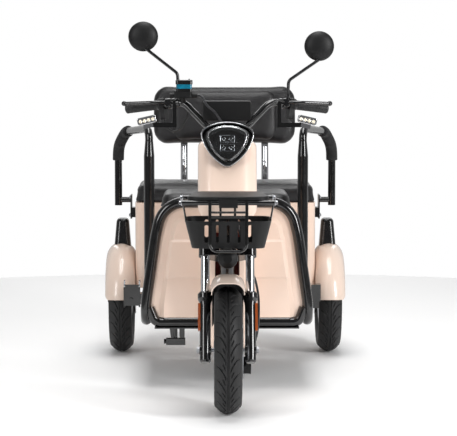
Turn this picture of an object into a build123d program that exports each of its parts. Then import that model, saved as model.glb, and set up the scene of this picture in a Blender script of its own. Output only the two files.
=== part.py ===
"""Three-wheeled electric passenger tricycle, built as an assembly of separate pieces.

Units are millimetres.  The vehicle faces -Y, its left side is +X and +Z is up.  The origin is on the
ground, midway along the whole length.
"""

import os
from math import cos, radians, sin, tan

from build123d import *

os.makedirs("parts", exist_ok=True)

# ---------------------------------------------------------------- driving dimensions
LENGTH = 1995
WHEELBASE = 1400
REAR_TRACK = 820
WHEEL_RADIUS = 210
TYRE_WIDTH = 92
RIM_RADIUS = 127
RAKE = 24
FORK_OFFSET = 37
FORK_SPREAD = 150

FRAME_TUBE = 19
RAIL_X = 284
RAIL_Z = 247
REAR_RAIL_Z = 331

FRONT_AXLE_Y = WHEEL_RADIUS - LENGTH / 2
REAR_AXLE_Y = FRONT_AXLE_Y + WHEELBASE
LEG_SHIELD_Y = FRONT_AXLE_Y + 450
POST_Y = FRONT_AXLE_Y + 860
BUCKET_FRONT_Y = FRONT_AXLE_Y + 895
REAR_BOX_FRONT_Y = FRONT_AXLE_Y + 1245
REAR_BOX_REAR_Y = FRONT_AXLE_Y + 1740
BACKREST_Y = FRONT_AXLE_Y + 1705
REAR_END_Y = LENGTH / 2

RUNNING_CLEARANCE = 0.08
SIDES = (("left", 1), ("right", -1))

# ---------------------------------------------------------------- reference planes
SIN_RAKE = sin(radians(RAKE))
COS_RAKE = cos(radians(RAKE))
steering = Plane(
    origin=(0, FRONT_AXLE_Y + FORK_OFFSET * COS_RAKE, WHEEL_RADIUS - FORK_OFFSET * SIN_RAKE),
    x_dir=(1, 0, 0),
    z_dir=(0, SIN_RAKE, COS_RAKE),
)


def front_view(y):
    """Plane seen from the front: local x is X, local y is Z, and it extrudes forwards."""
    return Plane(origin=(0, y, 0), x_dir=(1, 0, 0), z_dir=(0, -1, 0))


def side_view(x):
    """Plane seen from the vehicle's left: local x is Y, local y is Z, and it extrudes to +X."""
    return Plane(origin=(x, 0, 0), x_dir=(0, 1, 0), z_dir=(1, 0, 0))


def radial_plane(x, axle_y, angle):
    """Plane through a wheel axle: local x is X, local y the radius, turned rearwards by the angle."""
    turn = radians(angle)
    return Plane(origin=(x, axle_y, WHEEL_RADIUS), x_dir=(1, 0, 0), z_dir=(0, -cos(turn), sin(turn)))


def axle_line(axle_y):
    """The axis of a wheel, along X."""
    return Axis((0, axle_y, WHEEL_RADIUS), (1, 0, 0))


def on_steering(x, y, z):
    """A point given in the steering plane's own coordinates."""
    return steering.from_local_coords(Vector(x, y, z))


# ---------------------------------------------------------------- shared operations
def save(piece, name):
    """Label a finished piece and write its STEP file."""
    piece.part.label = name
    export_step(piece.part, f"parts/{name}.step")


def add_tube(points, bends, radius):
    """Add a round bar that follows the points, with one bend radius for each inner point."""
    with BuildLine() as route:
        if len(points) == 2:
            Line(*points)
        else:
            FilletPolyline(*points, radius=bends)
    with BuildSketch(Plane(origin=route.line @ 0, z_dir=route.line % 0)) as section:
        Circle(radius)
    sweep(section.sketch, path=route.line)


def add_rod(start, end, radius, mode=Mode.ADD):
    """Add a straight round bar from one point to another."""
    reach = Vector(*end) - Vector(*start)
    with BuildSketch(Plane(origin=start, z_dir=reach)) as section:
        Circle(radius)
    extrude(section.sketch, amount=reach.length, mode=mode)


def add_block(low, high, mode=Mode.ADD):
    """Add a box between two corners."""
    size = [top - bottom for bottom, top in zip(low, high)]
    middle = [(top + bottom) / 2 for bottom, top in zip(low, high)]
    with Locations(tuple(middle)):
        Box(*size, mode=mode)


def add_cable(points, radius):
    """Add a cable on straight runs, with each bend as wide as its two runs allow."""
    corners = [Vector(*point) for point in points]
    bends = []
    for before, corner, after in zip(corners, corners[1:], corners[2:]):
        turn = (corner - before).get_angle(after - corner)
        shorter = min((corner - before).length, (after - corner).length)
        bends.append(0.45 * shorter / tan(radians(turn / 2)))
    print("cable of radius", radius, "mm: tightest bend", round(min(bends), 1), "mm")
    add_tube([tuple(corner) for corner in corners], bends, radius)


def save_pair(piece, name):
    """Write a left-hand piece together with its mirror image."""
    with BuildPart() as pair:
        add(piece.part)
        mirror(piece.part, about=Plane.YZ)
    save(pair, name)


# ---------------------------------------------------------------- guard hoop and floor frame
HOOP_TOP_Z = 665
hoop_side = [(RAIL_X, RAIL_Z + 63), (RAIL_X - 34, RAIL_Z + 298), (RAIL_X - 62, HOOP_TOP_Z)]
hoop_left = [(x, LEG_SHIELD_Y, z) for x, z in hoop_side]
hoop_right = [(-x, LEG_SHIELD_Y, z) for x, z in hoop_side]
RAIL_FRONT_Y = LEG_SHIELD_Y + 120

with BuildPart() as guard_hoop:
    add_tube(
        [(RAIL_X, RAIL_FRONT_Y, RAIL_Z), (RAIL_X, LEG_SHIELD_Y, RAIL_Z), *hoop_left]
        + [*reversed(hoop_right), (-RAIL_X, LEG_SHIELD_Y, RAIL_Z), (-RAIL_X, RAIL_FRONT_Y, RAIL_Z)],
        [40, 250, 400, 95, 95, 400, 250, 40],
        FRAME_TUBE,
    )
save(guard_hoop, "guard_hoop")

with BuildPart() as side_rails:
    for _, side in SIDES:
        x = side * RAIL_X
        add_tube(
            [
                (x, RAIL_FRONT_Y, RAIL_Z),
                (x, FRONT_AXLE_Y + 1120, RAIL_Z),
                (x, FRONT_AXLE_Y + 1280, REAR_RAIL_Z),
                (x, REAR_BOX_REAR_Y, REAR_RAIL_Z),
            ],
            [110, 110],
            FRAME_TUBE,
        )
save(side_rails, "side_rails")

FRONT_CROSS_Z = RAIL_Z - 5
MIDDLE_CROSS_Y = FRONT_AXLE_Y + 760
CROSS_TUBE = 16
with BuildPart() as cross_members:
    add_tube(
        [
            (-RAIL_X + 12, LEG_SHIELD_Y, FRONT_CROSS_Z + 52),
            (-RAIL_X + 32, LEG_SHIELD_Y, FRONT_CROSS_Z),
            (RAIL_X - 32, LEG_SHIELD_Y, FRONT_CROSS_Z),
            (RAIL_X - 12, LEG_SHIELD_Y, FRONT_CROSS_Z + 52),
        ],
        [30, 30],
        FRAME_TUBE - 1,
    )
    add_block(
        (-RAIL_X + 30, LEG_SHIELD_Y - 16, FRONT_CROSS_Z - FRAME_TUBE - 2),
        (RAIL_X - 30, LEG_SHIELD_Y + 40, FRONT_CROSS_Z - FRAME_TUBE + 2),
    )
    for y, z in (
        (MIDDLE_CROSS_Y, RAIL_Z),
        (FRONT_AXLE_Y + 1100, RAIL_Z),
        (FRONT_AXLE_Y + 1330, REAR_RAIL_Z),
        (REAR_BOX_REAR_Y - 30, REAR_RAIL_Z),
    ):
        add_rod((-RAIL_X, y, z), (RAIL_X, y, z), CROSS_TUBE)
    add(guard_hoop.part, mode=Mode.SUBTRACT)
    add(side_rails.part, mode=Mode.SUBTRACT)
save(cross_members, "cross_members")

# ---------------------------------------------------------------- head tube and down tube
STEM_RADIUS = 15
HEAD_TUBE_RADIUS = 27
HEAD_TUBE_LOW = 362
HEAD_TUBE_HIGH = 560
DOWN_TUBE_RADIUS = 25
DOWN_TUBE_Z = 198
RACK_Z = 710
RACK_X = 59

with BuildPart() as down_tube:
    with BuildSketch(steering.offset(HEAD_TUBE_LOW)):
        Circle(HEAD_TUBE_RADIUS)
    extrude(amount=HEAD_TUBE_HIGH - HEAD_TUBE_LOW)
    add_tube(
        [
            tuple(on_steering(0, 0, 455)),
            (0, FRONT_AXLE_Y + 392, DOWN_TUBE_Z),
            (0, MIDDLE_CROSS_Y + 12, DOWN_TUBE_Z),
        ],
        [90],
        DOWN_TUBE_RADIUS,
    )
    add_block(
        (-30, MIDDLE_CROSS_Y - 12, DOWN_TUBE_Z + 10),
        (30, MIDDLE_CROSS_Y + 12, RAIL_Z),
    )
    with BuildSketch(Plane.XY.offset(RACK_Z - 20)):
        with Locations((-16, FRONT_AXLE_Y + 220)):
            Rectangle(24, 70)
        with Locations((0, FRONT_AXLE_Y + 183)):
            Rectangle(2 * RACK_X + 20, 6)
    extrude(amount=32)
    with BuildSketch(steering.offset(HEAD_TUBE_LOW)):
        Circle(STEM_RADIUS + RUNNING_CLEARANCE)
    extrude(amount=HEAD_TUBE_HIGH, mode=Mode.SUBTRACT)
    add(cross_members.part, mode=Mode.SUBTRACT)
save(down_tube, "down_tube")

# ---------------------------------------------------------------- floor pan
FLOOR_Z = RAIL_Z + FRAME_TUBE
FLOOR_THICKNESS = 3
FLOOR_TOP_Z = FLOOR_Z + FLOOR_THICKNESS
FLOOR_FRONT_Y = LEG_SHIELD_Y + 25
FLOOR_REAR_Y = FRONT_AXLE_Y + 1115
PEDAL_X = -183
PEDAL_Y = FRONT_AXLE_Y + 600
with BuildPart() as floor_pan:
    add_block((-300, FLOOR_FRONT_Y, FLOOR_Z), (300, FLOOR_REAR_Y, FLOOR_TOP_Z))
    for column in range(-3, 4):
        add_block(
            (column * 70 - 12, FLOOR_FRONT_Y + 25, FLOOR_TOP_Z),
            (column * 70 + 12, BUCKET_FRONT_Y - 20, FLOOR_TOP_Z + 3),
        )
    add_block((PEDAL_X - 16, PEDAL_Y - 75, FLOOR_Z - 1), (PEDAL_X + 16, PEDAL_Y + 20, FLOOR_TOP_Z + 4), Mode.SUBTRACT)
    for _, side in SIDES:
        add_rod((side * RAIL_X, POST_Y, FLOOR_Z - 1), (side * RAIL_X, POST_Y, FLOOR_TOP_Z + 4), 20, Mode.SUBTRACT)
    add(guard_hoop.part, mode=Mode.SUBTRACT)
save(floor_pan, "floor_pan")

# ---------------------------------------------------------------- wide leg shield
SHIELD_WALL = 4
PLATEAU_RISE = 18
PLATEAU_INSET = 32
STEP_LOW_Z = 397
STEP_HIGH_Z = 536


def shield_outline(low_z, inset):
    """Outline of the shield inside the hoop, down to a height and drawn in from its sides."""
    with BuildSketch() as outline:
        with BuildLine():
            FilletPolyline(
                (RAIL_X, low_z),
                *hoop_side,
                *[(-x, z) for x, z in reversed(hoop_side)],
                (-RAIL_X, low_z),
                radius=[250, 400, 95, 95, 400, 250],
            )
            Line((-RAIL_X, low_z), (RAIL_X, low_z))
        make_face()
        offset(amount=-inset, mode=Mode.REPLACE)
    return outline.sketch


plateau_inset = FRAME_TUBE + PLATEAU_INSET - 3
with BuildPart() as leg_shield:
    with BuildSketch(front_view(LEG_SHIELD_Y + SHIELD_WALL)):
        add(shield_outline(FRONT_CROSS_Z, FRAME_TUBE))
    extrude(amount=SHIELD_WALL)
    with BuildSketch(front_view(LEG_SHIELD_Y)):
        add(shield_outline(FRONT_CROSS_Z - 90, plateau_inset))
    extrude(amount=PLATEAU_RISE, taper=40)
    with BuildSketch(front_view(LEG_SHIELD_Y - PLATEAU_RISE)):
        with BuildLine():
            FilletPolyline(
                (198, STEP_HIGH_Z), (216, STEP_LOW_Z), (-216, STEP_LOW_Z), (-198, STEP_HIGH_Z), radius=9, close=True
            )
        make_face()
    extrude(amount=6, taper=55)
    with BuildSketch(front_view(LEG_SHIELD_Y + SHIELD_WALL)):
        add(shield_outline(FRONT_CROSS_Z - 90, plateau_inset + SHIELD_WALL))
    extrude(amount=PLATEAU_RISE, taper=40, mode=Mode.SUBTRACT)
    add_block(
        (-RAIL_X, LEG_SHIELD_Y - 40, 0),
        (RAIL_X, LEG_SHIELD_Y + 40, FRONT_CROSS_Z + FRAME_TUBE),
        Mode.SUBTRACT,
    )
    add(cross_members.part, mode=Mode.SUBTRACT)
save(leg_shield, "leg_shield")

# ---------------------------------------------------------------- lower cowl round the down tube
COWL_WIDTH = 124
COWL_SLOT = 84
COWL_TOP_Z = 626
COWL_REAR_Y = LEG_SHIELD_Y - PLATEAU_RISE
with BuildPart() as lower_cowl:
    with BuildSketch(side_view(-COWL_WIDTH / 2)):
        with BuildLine():
            FilletPolyline(
                (FRONT_AXLE_Y + 229, COWL_TOP_Z),
                (FRONT_AXLE_Y + 287, 470),
                (FRONT_AXLE_Y + 345, 235),
                (FRONT_AXLE_Y + 372, 160),
                (COWL_REAR_Y, 160),
                (COWL_REAR_Y, COWL_TOP_Z),
                radius=[200, 200, 25, 15],
            )
            Line((COWL_REAR_Y, COWL_TOP_Z), (FRONT_AXLE_Y + 229, COWL_TOP_Z))
        make_face()
    extrude(amount=COWL_WIDTH)
    fillet(lower_cowl.edges().filter_by(Axis.X, reverse=True).group_by(Axis.Y)[0], 4)
    add_block(
        (-COWL_SLOT / 2, FRONT_AXLE_Y, 150),
        (COWL_SLOT / 2, COWL_REAR_Y - 4, COWL_TOP_Z + 1),
        Mode.SUBTRACT,
    )
    add_block((-COWL_SLOT / 2, COWL_REAR_Y - 5, 150), (COWL_SLOT / 2, COWL_REAR_Y + 1, 290), Mode.SUBTRACT)
    add(cross_members.part, mode=Mode.SUBTRACT)
    add(leg_shield.part, mode=Mode.SUBTRACT)
save(lower_cowl, "lower_cowl")

# ---------------------------------------------------------------- headlight
LAMP_TILT = 18
lamp_plane = Plane(
    origin=(0, FRONT_AXLE_Y + 196, 880),
    x_dir=(1, 0, 0),
    z_dir=(0, -cos(radians(LAMP_TILT)), sin(radians(LAMP_TILT))),
)
LAMP_DEPTH = 62
LAMP_WALL = 3
LENS_BULGE = 20
LAMP_RIM = 6


def lamp_outline(size):
    """Face of the rounded three-cornered headlight, at a part of its full size."""
    with BuildSketch() as outline:
        with BuildLine():
            ThreePointArc((-92, 48), (0, 78), (92, 48))
            ThreePointArc((92, 48), (69, -20), (0, -82))
            ThreePointArc((0, -82), (-69, -20), (-92, 48))
        make_face()
        fillet(outline.vertices(), 27)
        scale(by=size)
    return outline.sketch


def lamp_body(front, front_size, back, back_size):
    """Solid between two headlight outlines, each at its own depth along the lamp's axis."""
    with BuildPart() as body:
        with BuildSketch(lamp_plane.offset(front)):
            add(lamp_outline(front_size))
        with BuildSketch(lamp_plane.offset(back)):
            add(lamp_outline(back_size))
        loft()
    return body.part


with BuildPart() as headlight_housing:
    add(lamp_body(-LAMP_RIM, 0.98, -LAMP_DEPTH, 0.8))
    add(lamp_body(1 - LAMP_RIM, 0.94, LAMP_WALL - LAMP_DEPTH, 0.76), mode=Mode.SUBTRACT)
save(headlight_housing, "headlight_housing")

with BuildPart() as headlight_rim:
    with BuildSketch(lamp_plane.offset(-LAMP_RIM)):
        add(lamp_outline(1))
        add(lamp_outline(0.945), mode=Mode.SUBTRACT)
    extrude(amount=LAMP_RIM + 3)
    fillet(headlight_rim.faces().sort_by(Axis.Y)[0].edges(), 1.6)
save(headlight_rim, "headlight_rim")

with BuildPart() as headlight_bezel:
    with BuildSketch(lamp_plane.offset(-15)):
        add(lamp_outline(0.885))
        add(lamp_outline(0.68), mode=Mode.SUBTRACT)
    extrude(amount=3)
    add(lamp_body(-14, 0.7, -32, 0.63))
    add(lamp_body(-11, 0.68, -33, 0.6), mode=Mode.SUBTRACT)
save(headlight_bezel, "headlight_bezel")

MODULE_ROWS = (22, -9)
with BuildPart() as headlight_module:
    with BuildSketch(lamp_plane.offset(LAMP_WALL - LAMP_DEPTH)):
        with Locations((0, 6)):
            RectangleRounded(58, 66, 6)
    extrude(amount=LAMP_DEPTH - 17)
    for row in MODULE_ROWS:
        with BuildSketch(lamp_plane.offset(-14)):
            with Locations((0, row)):
                RectangleRounded(50, 27, 6)
        extrude(amount=4)
        with BuildSketch(lamp_plane.offset(-10)):
            with Locations((-12.5, row), (12.5, row)):
                Circle(9.5)
        extrude(amount=-9, mode=Mode.SUBTRACT)
save(headlight_module, "headlight_module")

with BuildPart() as headlight_lens:
    add(lamp_body(0, 0.94, LENS_BULGE, 0.74))
    fillet(headlight_lens.faces().sort_by(Axis.Y)[0].edges(), 9)
    add(lamp_body(0, 0.91, LENS_BULGE - 2, 0.71), mode=Mode.SUBTRACT)
save(headlight_lens, "headlight_lens")

# ---------------------------------------------------------------- nose column
NOSE_WIDTH = 200
NOSE_LOW_Z = 628
NOSE_HIGH_Z = 884
NOSE_WALL = 3


def nose_solid(inset):
    """The raked column with rounded corners, drawn smaller by the inset on every side."""
    with BuildPart() as shape:
        with BuildSketch(steering.offset(340)):
            with Locations((0, -15)):
                RectangleRounded(NOSE_WIDTH - 2 * inset, 180 - 2 * inset, 58 - inset)
        extrude(amount=500)
        with BuildSketch(front_view(0)):
            with BuildLine():
                half = NOSE_WIDTH / 2 - inset
                FilletPolyline(
                    (-half, NOSE_HIGH_Z - inset),
                    (-half, NOSE_LOW_Z),
                    (half, NOSE_LOW_Z),
                    (half, NOSE_HIGH_Z - inset),
                    radius=[48, 48],
                )
                ThreePointArc((half, NOSE_HIGH_Z - inset), (0, NOSE_HIGH_Z - inset + 8), (-half, NOSE_HIGH_Z - inset))
            make_face()
        extrude(amount=LENGTH, both=True, mode=Mode.INTERSECT)
        fillet(shape.faces().sort_by(Axis.Z)[-1].edges(), 24 - inset)
    return shape.part


with BuildPart() as nose_column:
    add(nose_solid(0))
    add(nose_solid(NOSE_WALL), mode=Mode.SUBTRACT)
    with BuildSketch(Plane.XY.offset(NOSE_LOW_Z - 1)):
        with Locations((0, FRONT_AXLE_Y + 230)):
            Rectangle(NOSE_WIDTH - 110, 300)
    extrude(amount=NOSE_WALL + 3, mode=Mode.SUBTRACT)
    add(lamp_body(0, 1.03, -LAMP_DEPTH - 4, 0.83), mode=Mode.SUBTRACT)
    with BuildSketch(steering.offset(640)):
        Circle(64)
    extrude(amount=200, mode=Mode.SUBTRACT)
    for _, side in SIDES:
        add_rod(
            (side * RACK_X, FRONT_AXLE_Y + 90, RACK_Z),
            (side * RACK_X, FRONT_AXLE_Y + 179, RACK_Z),
            9,
            Mode.SUBTRACT,
        )
save(nose_column, "nose_column")

# ---------------------------------------------------------------- front rack, tray and basket
RACK_FRONT_Y = FRONT_AXLE_Y - 165
RACK_REAR_Y = FRONT_AXLE_Y + 66
RACK_TUBE = 8
CRADLE_ROD = 5
BASKET_LOW_Z = 561
BASKET_RIM_Z = 650
RACK_HALF_WIDTH = 150

with BuildPart() as basket_rack:
    for y in (RACK_FRONT_Y, RACK_REAR_Y):
        add_rod((-RACK_HALF_WIDTH, y, RACK_Z), (RACK_HALF_WIDTH, y, RACK_Z), RACK_TUBE)
    cradle_z = BASKET_LOW_Z - CRADLE_ROD
    guard_y = RACK_FRONT_Y - 12
    add_tube(
        [
            (RACK_X, guard_y, RACK_Z + 6),
            (RACK_X, guard_y, cradle_z - 2),
            (-RACK_X, guard_y, cradle_z - 2),
            (-RACK_X, guard_y, RACK_Z + 6),
        ],
        [26, 26],
        CRADLE_ROD,
    )
    for _, side in SIDES:
        add_rod(
            (side * RACK_X, RACK_FRONT_Y - 3, RACK_Z),
            (side * RACK_X, FRONT_AXLE_Y + 180, RACK_Z),
            RACK_TUBE - 1,
        )
        x = side * 24
        add_tube(
            [(x, guard_y - 1, cradle_z), (x, RACK_REAR_Y, cradle_z), (x, RACK_REAR_Y, RACK_Z)],
            [22],
            CRADLE_ROD - 1,
        )
        add_rod(
            (side * (RACK_HALF_WIDTH - 5), RACK_FRONT_Y, RACK_Z),
            (side * (RACK_HALF_WIDTH - 14), FRONT_AXLE_Y - 112, BASKET_RIM_Z - 4),
            3,
        )
    for z in (BASKET_RIM_Z + 14, BASKET_RIM_Z + 30):
        add_rod((-RACK_X, guard_y, z), (RACK_X, guard_y, z), CRADLE_ROD - 1.5)
save(basket_rack, "basket_rack")

with BuildPart() as front_basket:
    with BuildSketch(Plane.XY.offset(BASKET_LOW_Z)):
        with Locations((0, FRONT_AXLE_Y - 50)):
            RectangleRounded(235, 196, 36)
    with BuildSketch(Plane.XY.offset(BASKET_RIM_Z)):
        with Locations((0, FRONT_AXLE_Y - 53)):
            RectangleRounded(280, 222, 42)
    loft()
    offset(amount=-3, openings=front_basket.faces().sort_by(Axis.Z)[-1])
    for x, width in ((-70, 14), (-35, 9), (0, 9), (35, 9), (70, 14)):
        with BuildSketch(front_view(FRONT_AXLE_Y + 100)):
            with Locations((x, 609)):
                SlotOverall(58, width, rotation=90)
        extrude(amount=400, mode=Mode.SUBTRACT)
    for y in (-105, -55, -5):
        with BuildSketch(side_view(-200)):
            with Locations((FRONT_AXLE_Y + y, 609)):
                SlotOverall(56, 12, rotation=90)
        extrude(amount=400, mode=Mode.SUBTRACT)
    add(basket_rack.part, mode=Mode.SUBTRACT)
save(front_basket, "front_basket")

TRAY_Z = RACK_Z + RACK_TUBE
with BuildPart() as front_tray:
    with BuildSketch(Plane.XY.offset(TRAY_Z)):
        with BuildLine():
            FilletPolyline(
                (135, FRONT_AXLE_Y - 172),
                (111, FRONT_AXLE_Y + 84),
                (-111, FRONT_AXLE_Y + 84),
                (-135, FRONT_AXLE_Y - 172),
                radius=40,
                close=True,
            )
        make_face()
    extrude(amount=12)
    fillet(front_tray.faces().sort_by(Axis.Z)[-1].edges(), 4)
    add_block((-30, FRONT_AXLE_Y - 176, TRAY_Z - 24), (30, FRONT_AXLE_Y - 173.1, TRAY_Z + 4))
    add_block((-30, FRONT_AXLE_Y - 176, TRAY_Z), (30, FRONT_AXLE_Y - 160, TRAY_Z + 4))
save(front_tray, "front_tray")

# ---------------------------------------------------------------- fork
LEG_X = FORK_SPREAD / 2
STANCHION_RADIUS = 15
SLIDER_RADIUS = 18.5
SLIDER_TOP = 198
SLIDER_LOW = -43
CROWN_LOW = 323
CROWN_HIGH = 351
STEM_TOP = 800
AXLE_RADIUS = 6

with BuildPart() as fork_stanchions:
    for _, side in SIDES:
        with BuildSketch(steering.offset(SLIDER_TOP)):
            with Locations((side * LEG_X, -FORK_OFFSET)):
                Circle(STANCHION_RADIUS)
        extrude(amount=CROWN_HIGH + 4 - SLIDER_TOP)
save(fork_stanchions, "fork_stanchions")

with BuildPart() as fork_crown:
    with BuildSketch(steering.offset(CROWN_LOW)):
        with Locations((0, 0)):
            Circle(30)
        with Locations((-LEG_X, -FORK_OFFSET), (LEG_X, -FORK_OFFSET)):
            Circle(22)
        make_hull()
    extrude(amount=CROWN_HIGH - CROWN_LOW)
    fillet(fork_crown.edges().filter_by(GeomType.LINE).filter_by(Plane.XY, reverse=True), 2)
    with BuildSketch(steering.offset(CROWN_HIGH)):
        Circle(STEM_RADIUS)
    extrude(amount=STEM_TOP - CROWN_HIGH)
    for _, side in SIDES:
        with BuildSketch(steering.offset(CROWN_HIGH)):
            with Locations((side * LEG_X, -FORK_OFFSET)):
                Circle(17)
        extrude(amount=10)
    add(fork_stanchions.part, mode=Mode.SUBTRACT)
save(fork_crown, "fork_crown")

with BuildPart() as front_axle:
    add_rod((-102, FRONT_AXLE_Y, WHEEL_RADIUS), (102, FRONT_AXLE_Y, WHEEL_RADIUS), AXLE_RADIUS)
    for _, side in SIDES:
        with BuildSketch(Plane(origin=(side * 94, FRONT_AXLE_Y, WHEEL_RADIUS), z_dir=(side, 0, 0))):
            RegularPolygon(11, 6)
        extrude(amount=8)
save(front_axle, "front_axle")

leg_foot = on_steering(LEG_X, -FORK_OFFSET, 0)
with BuildPart() as fork_leg:
    with BuildSketch(Plane(origin=leg_foot, x_dir=(1, 0, 0), z_dir=-steering.y_dir)):
        with BuildLine():
            Polyline(
                (0, SLIDER_TOP),
                (21, SLIDER_TOP),
                (25, SLIDER_TOP - 6),
                (25, SLIDER_TOP - 22),
                (20, SLIDER_TOP - 34),
                (SLIDER_RADIUS, SLIDER_TOP - 46),
                (SLIDER_RADIUS, SLIDER_LOW + 6),
                (SLIDER_RADIUS - 4, SLIDER_LOW),
                (0, SLIDER_LOW),
                close=True,
            )
        make_face()
    revolve(axis=Axis(leg_foot, steering.z_dir))
    add_rod((LEG_X - 20, FRONT_AXLE_Y, WHEEL_RADIUS), (LEG_X + 19, FRONT_AXLE_Y, WHEEL_RADIUS), 16)
    add(front_axle.part, mode=Mode.SUBTRACT)
save_pair(fork_leg, "fork_legs")

FENDER_CREST = 251
FENDER_ARCH = 55
FENDER_WALL = 3
FENDER_SKIRT = 207
with BuildPart() as front_fender:
    with BuildSketch(radial_plane(0, FRONT_AXLE_Y, 76)):
        with BuildLine():
            FilletPolyline(
                (-FENDER_ARCH, FENDER_SKIRT),
                (-FENDER_ARCH, FENDER_CREST),
                (FENDER_ARCH, FENDER_CREST),
                (FENDER_ARCH, FENDER_SKIRT),
                radius=[38, 38],
            )
            inner_half = FENDER_ARCH - FENDER_WALL
            FilletPolyline(
                (inner_half, FENDER_SKIRT),
                (inner_half, FENDER_CREST - FENDER_WALL),
                (-inner_half, FENDER_CREST - FENDER_WALL),
                (-inner_half, FENDER_SKIRT),
                radius=[35, 35],
            )
            Line((FENDER_ARCH, FENDER_SKIRT), (inner_half, FENDER_SKIRT))
            Line((-FENDER_ARCH, FENDER_SKIRT), (-inner_half, FENDER_SKIRT))
        make_face()
    revolve(axis=axle_line(FRONT_AXLE_Y), revolution_arc=98)
    for _, side in SIDES:
        add_block(
            tuple(on_steering(side * 59, -FORK_OFFSET, 214) - Vector(5, 12, 10)),
            tuple(on_steering(side * 59, -FORK_OFFSET, 214) + Vector(5, 12, 10)),
        )
    add(fork_stanchions.part, mode=Mode.SUBTRACT)
save(front_fender, "front_fender")

# ---------------------------------------------------------------- wheels
def build_tyre(x, axle_y, name):
    """A round-crowned tyre whose beads fit between the rim's flanges."""
    half = TYRE_WIDTH / 2
    with BuildPart() as tyre:
        with BuildSketch(radial_plane(x, axle_y, 0)):
            with BuildLine():
                Polyline((-30, RIM_RADIUS), (30, RIM_RADIUS), (30, RIM_RADIUS + 10))
                ThreePointArc((30, RIM_RADIUS + 10), (half, RIM_RADIUS + 44), (half - 8, WHEEL_RADIUS - 20))
                ThreePointArc((half - 8, WHEEL_RADIUS - 20), (0, WHEEL_RADIUS), (8 - half, WHEEL_RADIUS - 20))
                ThreePointArc((8 - half, WHEEL_RADIUS - 20), (-half, RIM_RADIUS + 44), (-30, RIM_RADIUS + 10))
                Line((-30, RIM_RADIUS + 10), (-30, RIM_RADIUS))
            make_face()
        revolve(axis=axle_line(axle_y))
    save(tyre, name)


def build_rim(x, axle_y, name, bore, hub_half, drum_side):
    """A cast rim with a dished barrel, spokes and a hub; a drum side carries a brake drum."""
    with BuildPart() as rim:
        with BuildSketch(radial_plane(x, axle_y, 0)):
            with BuildLine():
                Polyline(
                    (-34, RIM_RADIUS + 9),
                    (-30, RIM_RADIUS + 9),
                    (-30, RIM_RADIUS),
                    (30, RIM_RADIUS),
                    (30, RIM_RADIUS + 9),
                    (34, RIM_RADIUS + 9),
                    (34, RIM_RADIUS - 6),
                    (16, RIM_RADIUS - 14),
                    (-16, RIM_RADIUS - 14),
                    (-34, RIM_RADIUS - 6),
                    close=True,
                )
            make_face()
        revolve(axis=axle_line(axle_y))
        add_rod((x - hub_half, axle_y, WHEEL_RADIUS), (x + hub_half, axle_y, WHEEL_RADIUS), 30)
        with BuildSketch(Plane(origin=(x - 8, axle_y, WHEEL_RADIUS), z_dir=(1, 0, 0))):
            with PolarLocations(70, 5):
                Rectangle(92, 26)
        extrude(amount=16)
        if drum_side:
            drum = x + drum_side * 8
            add_rod((drum, axle_y, WHEEL_RADIUS), (drum + drum_side * 30, axle_y, WHEEL_RADIUS), 78)
        add_rod((x - 80, axle_y, WHEEL_RADIUS), (x + 80, axle_y, WHEEL_RADIUS), bore, Mode.SUBTRACT)
    save(rim, name)


DISC_X = 47
build_tyre(0, FRONT_AXLE_Y, "front_tyre")
build_rim(0, FRONT_AXLE_Y, "front_rim", AXLE_RADIUS + RUNNING_CLEARANCE, DISC_X, 0)

REAR_STUB_RADIUS = 10
for name, side in SIDES:
    wheel_x = side * REAR_TRACK / 2
    build_tyre(wheel_x, REAR_AXLE_Y, f"rear_tyre_{name}")
    build_rim(wheel_x, REAR_AXLE_Y, f"rear_rim_{name}", REAR_STUB_RADIUS + RUNNING_CLEARANCE, 42, -side)

with BuildPart() as brake_disc:
    with BuildSketch(Plane(origin=(DISC_X, FRONT_AXLE_Y, WHEEL_RADIUS), z_dir=(1, 0, 0))):
        Circle(95)
        Circle(62, mode=Mode.SUBTRACT)
        with PolarLocations(46, 5):
            Rectangle(42, 14)
        Circle(34)
        Circle(AXLE_RADIUS + RUNNING_CLEARANCE, mode=Mode.SUBTRACT)
        with PolarLocations(78, 15):
            Circle(4, mode=Mode.SUBTRACT)
    extrude(amount=3)
save(brake_disc, "brake_disc")

CALIPER_Y = FRONT_AXLE_Y + 50
CALIPER_Z = WHEEL_RADIUS - 58
with BuildPart() as brake_caliper:
    with BuildSketch(side_view(DISC_X - 8)):
        with Locations((CALIPER_Y, CALIPER_Z)):
            Rectangle(50, 40, rotation=-45)
    extrude(amount=38)
    fillet(brake_caliper.edges().filter_by(Axis.X), 6)
    with BuildSketch(side_view(DISC_X - 2)):
        with Locations((FRONT_AXLE_Y, WHEEL_RADIUS)):
            Circle(99)
    extrude(amount=7, mode=Mode.SUBTRACT)
    with BuildSketch(side_view(LEG_X - 15)):
        with BuildLine():
            Polyline(
                (CALIPER_Y - 24, CALIPER_Z - 10),
                (CALIPER_Y + 10, CALIPER_Z + 22),
                (FRONT_AXLE_Y + 18, WHEEL_RADIUS + 30),
                (FRONT_AXLE_Y - 6, WHEEL_RADIUS - 22),
                close=True,
            )
        make_face()
    extrude(amount=8)
    add(fork_leg.part, mode=Mode.SUBTRACT)
    add(front_axle.part, mode=Mode.SUBTRACT)
save(brake_caliper, "brake_caliper")

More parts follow.
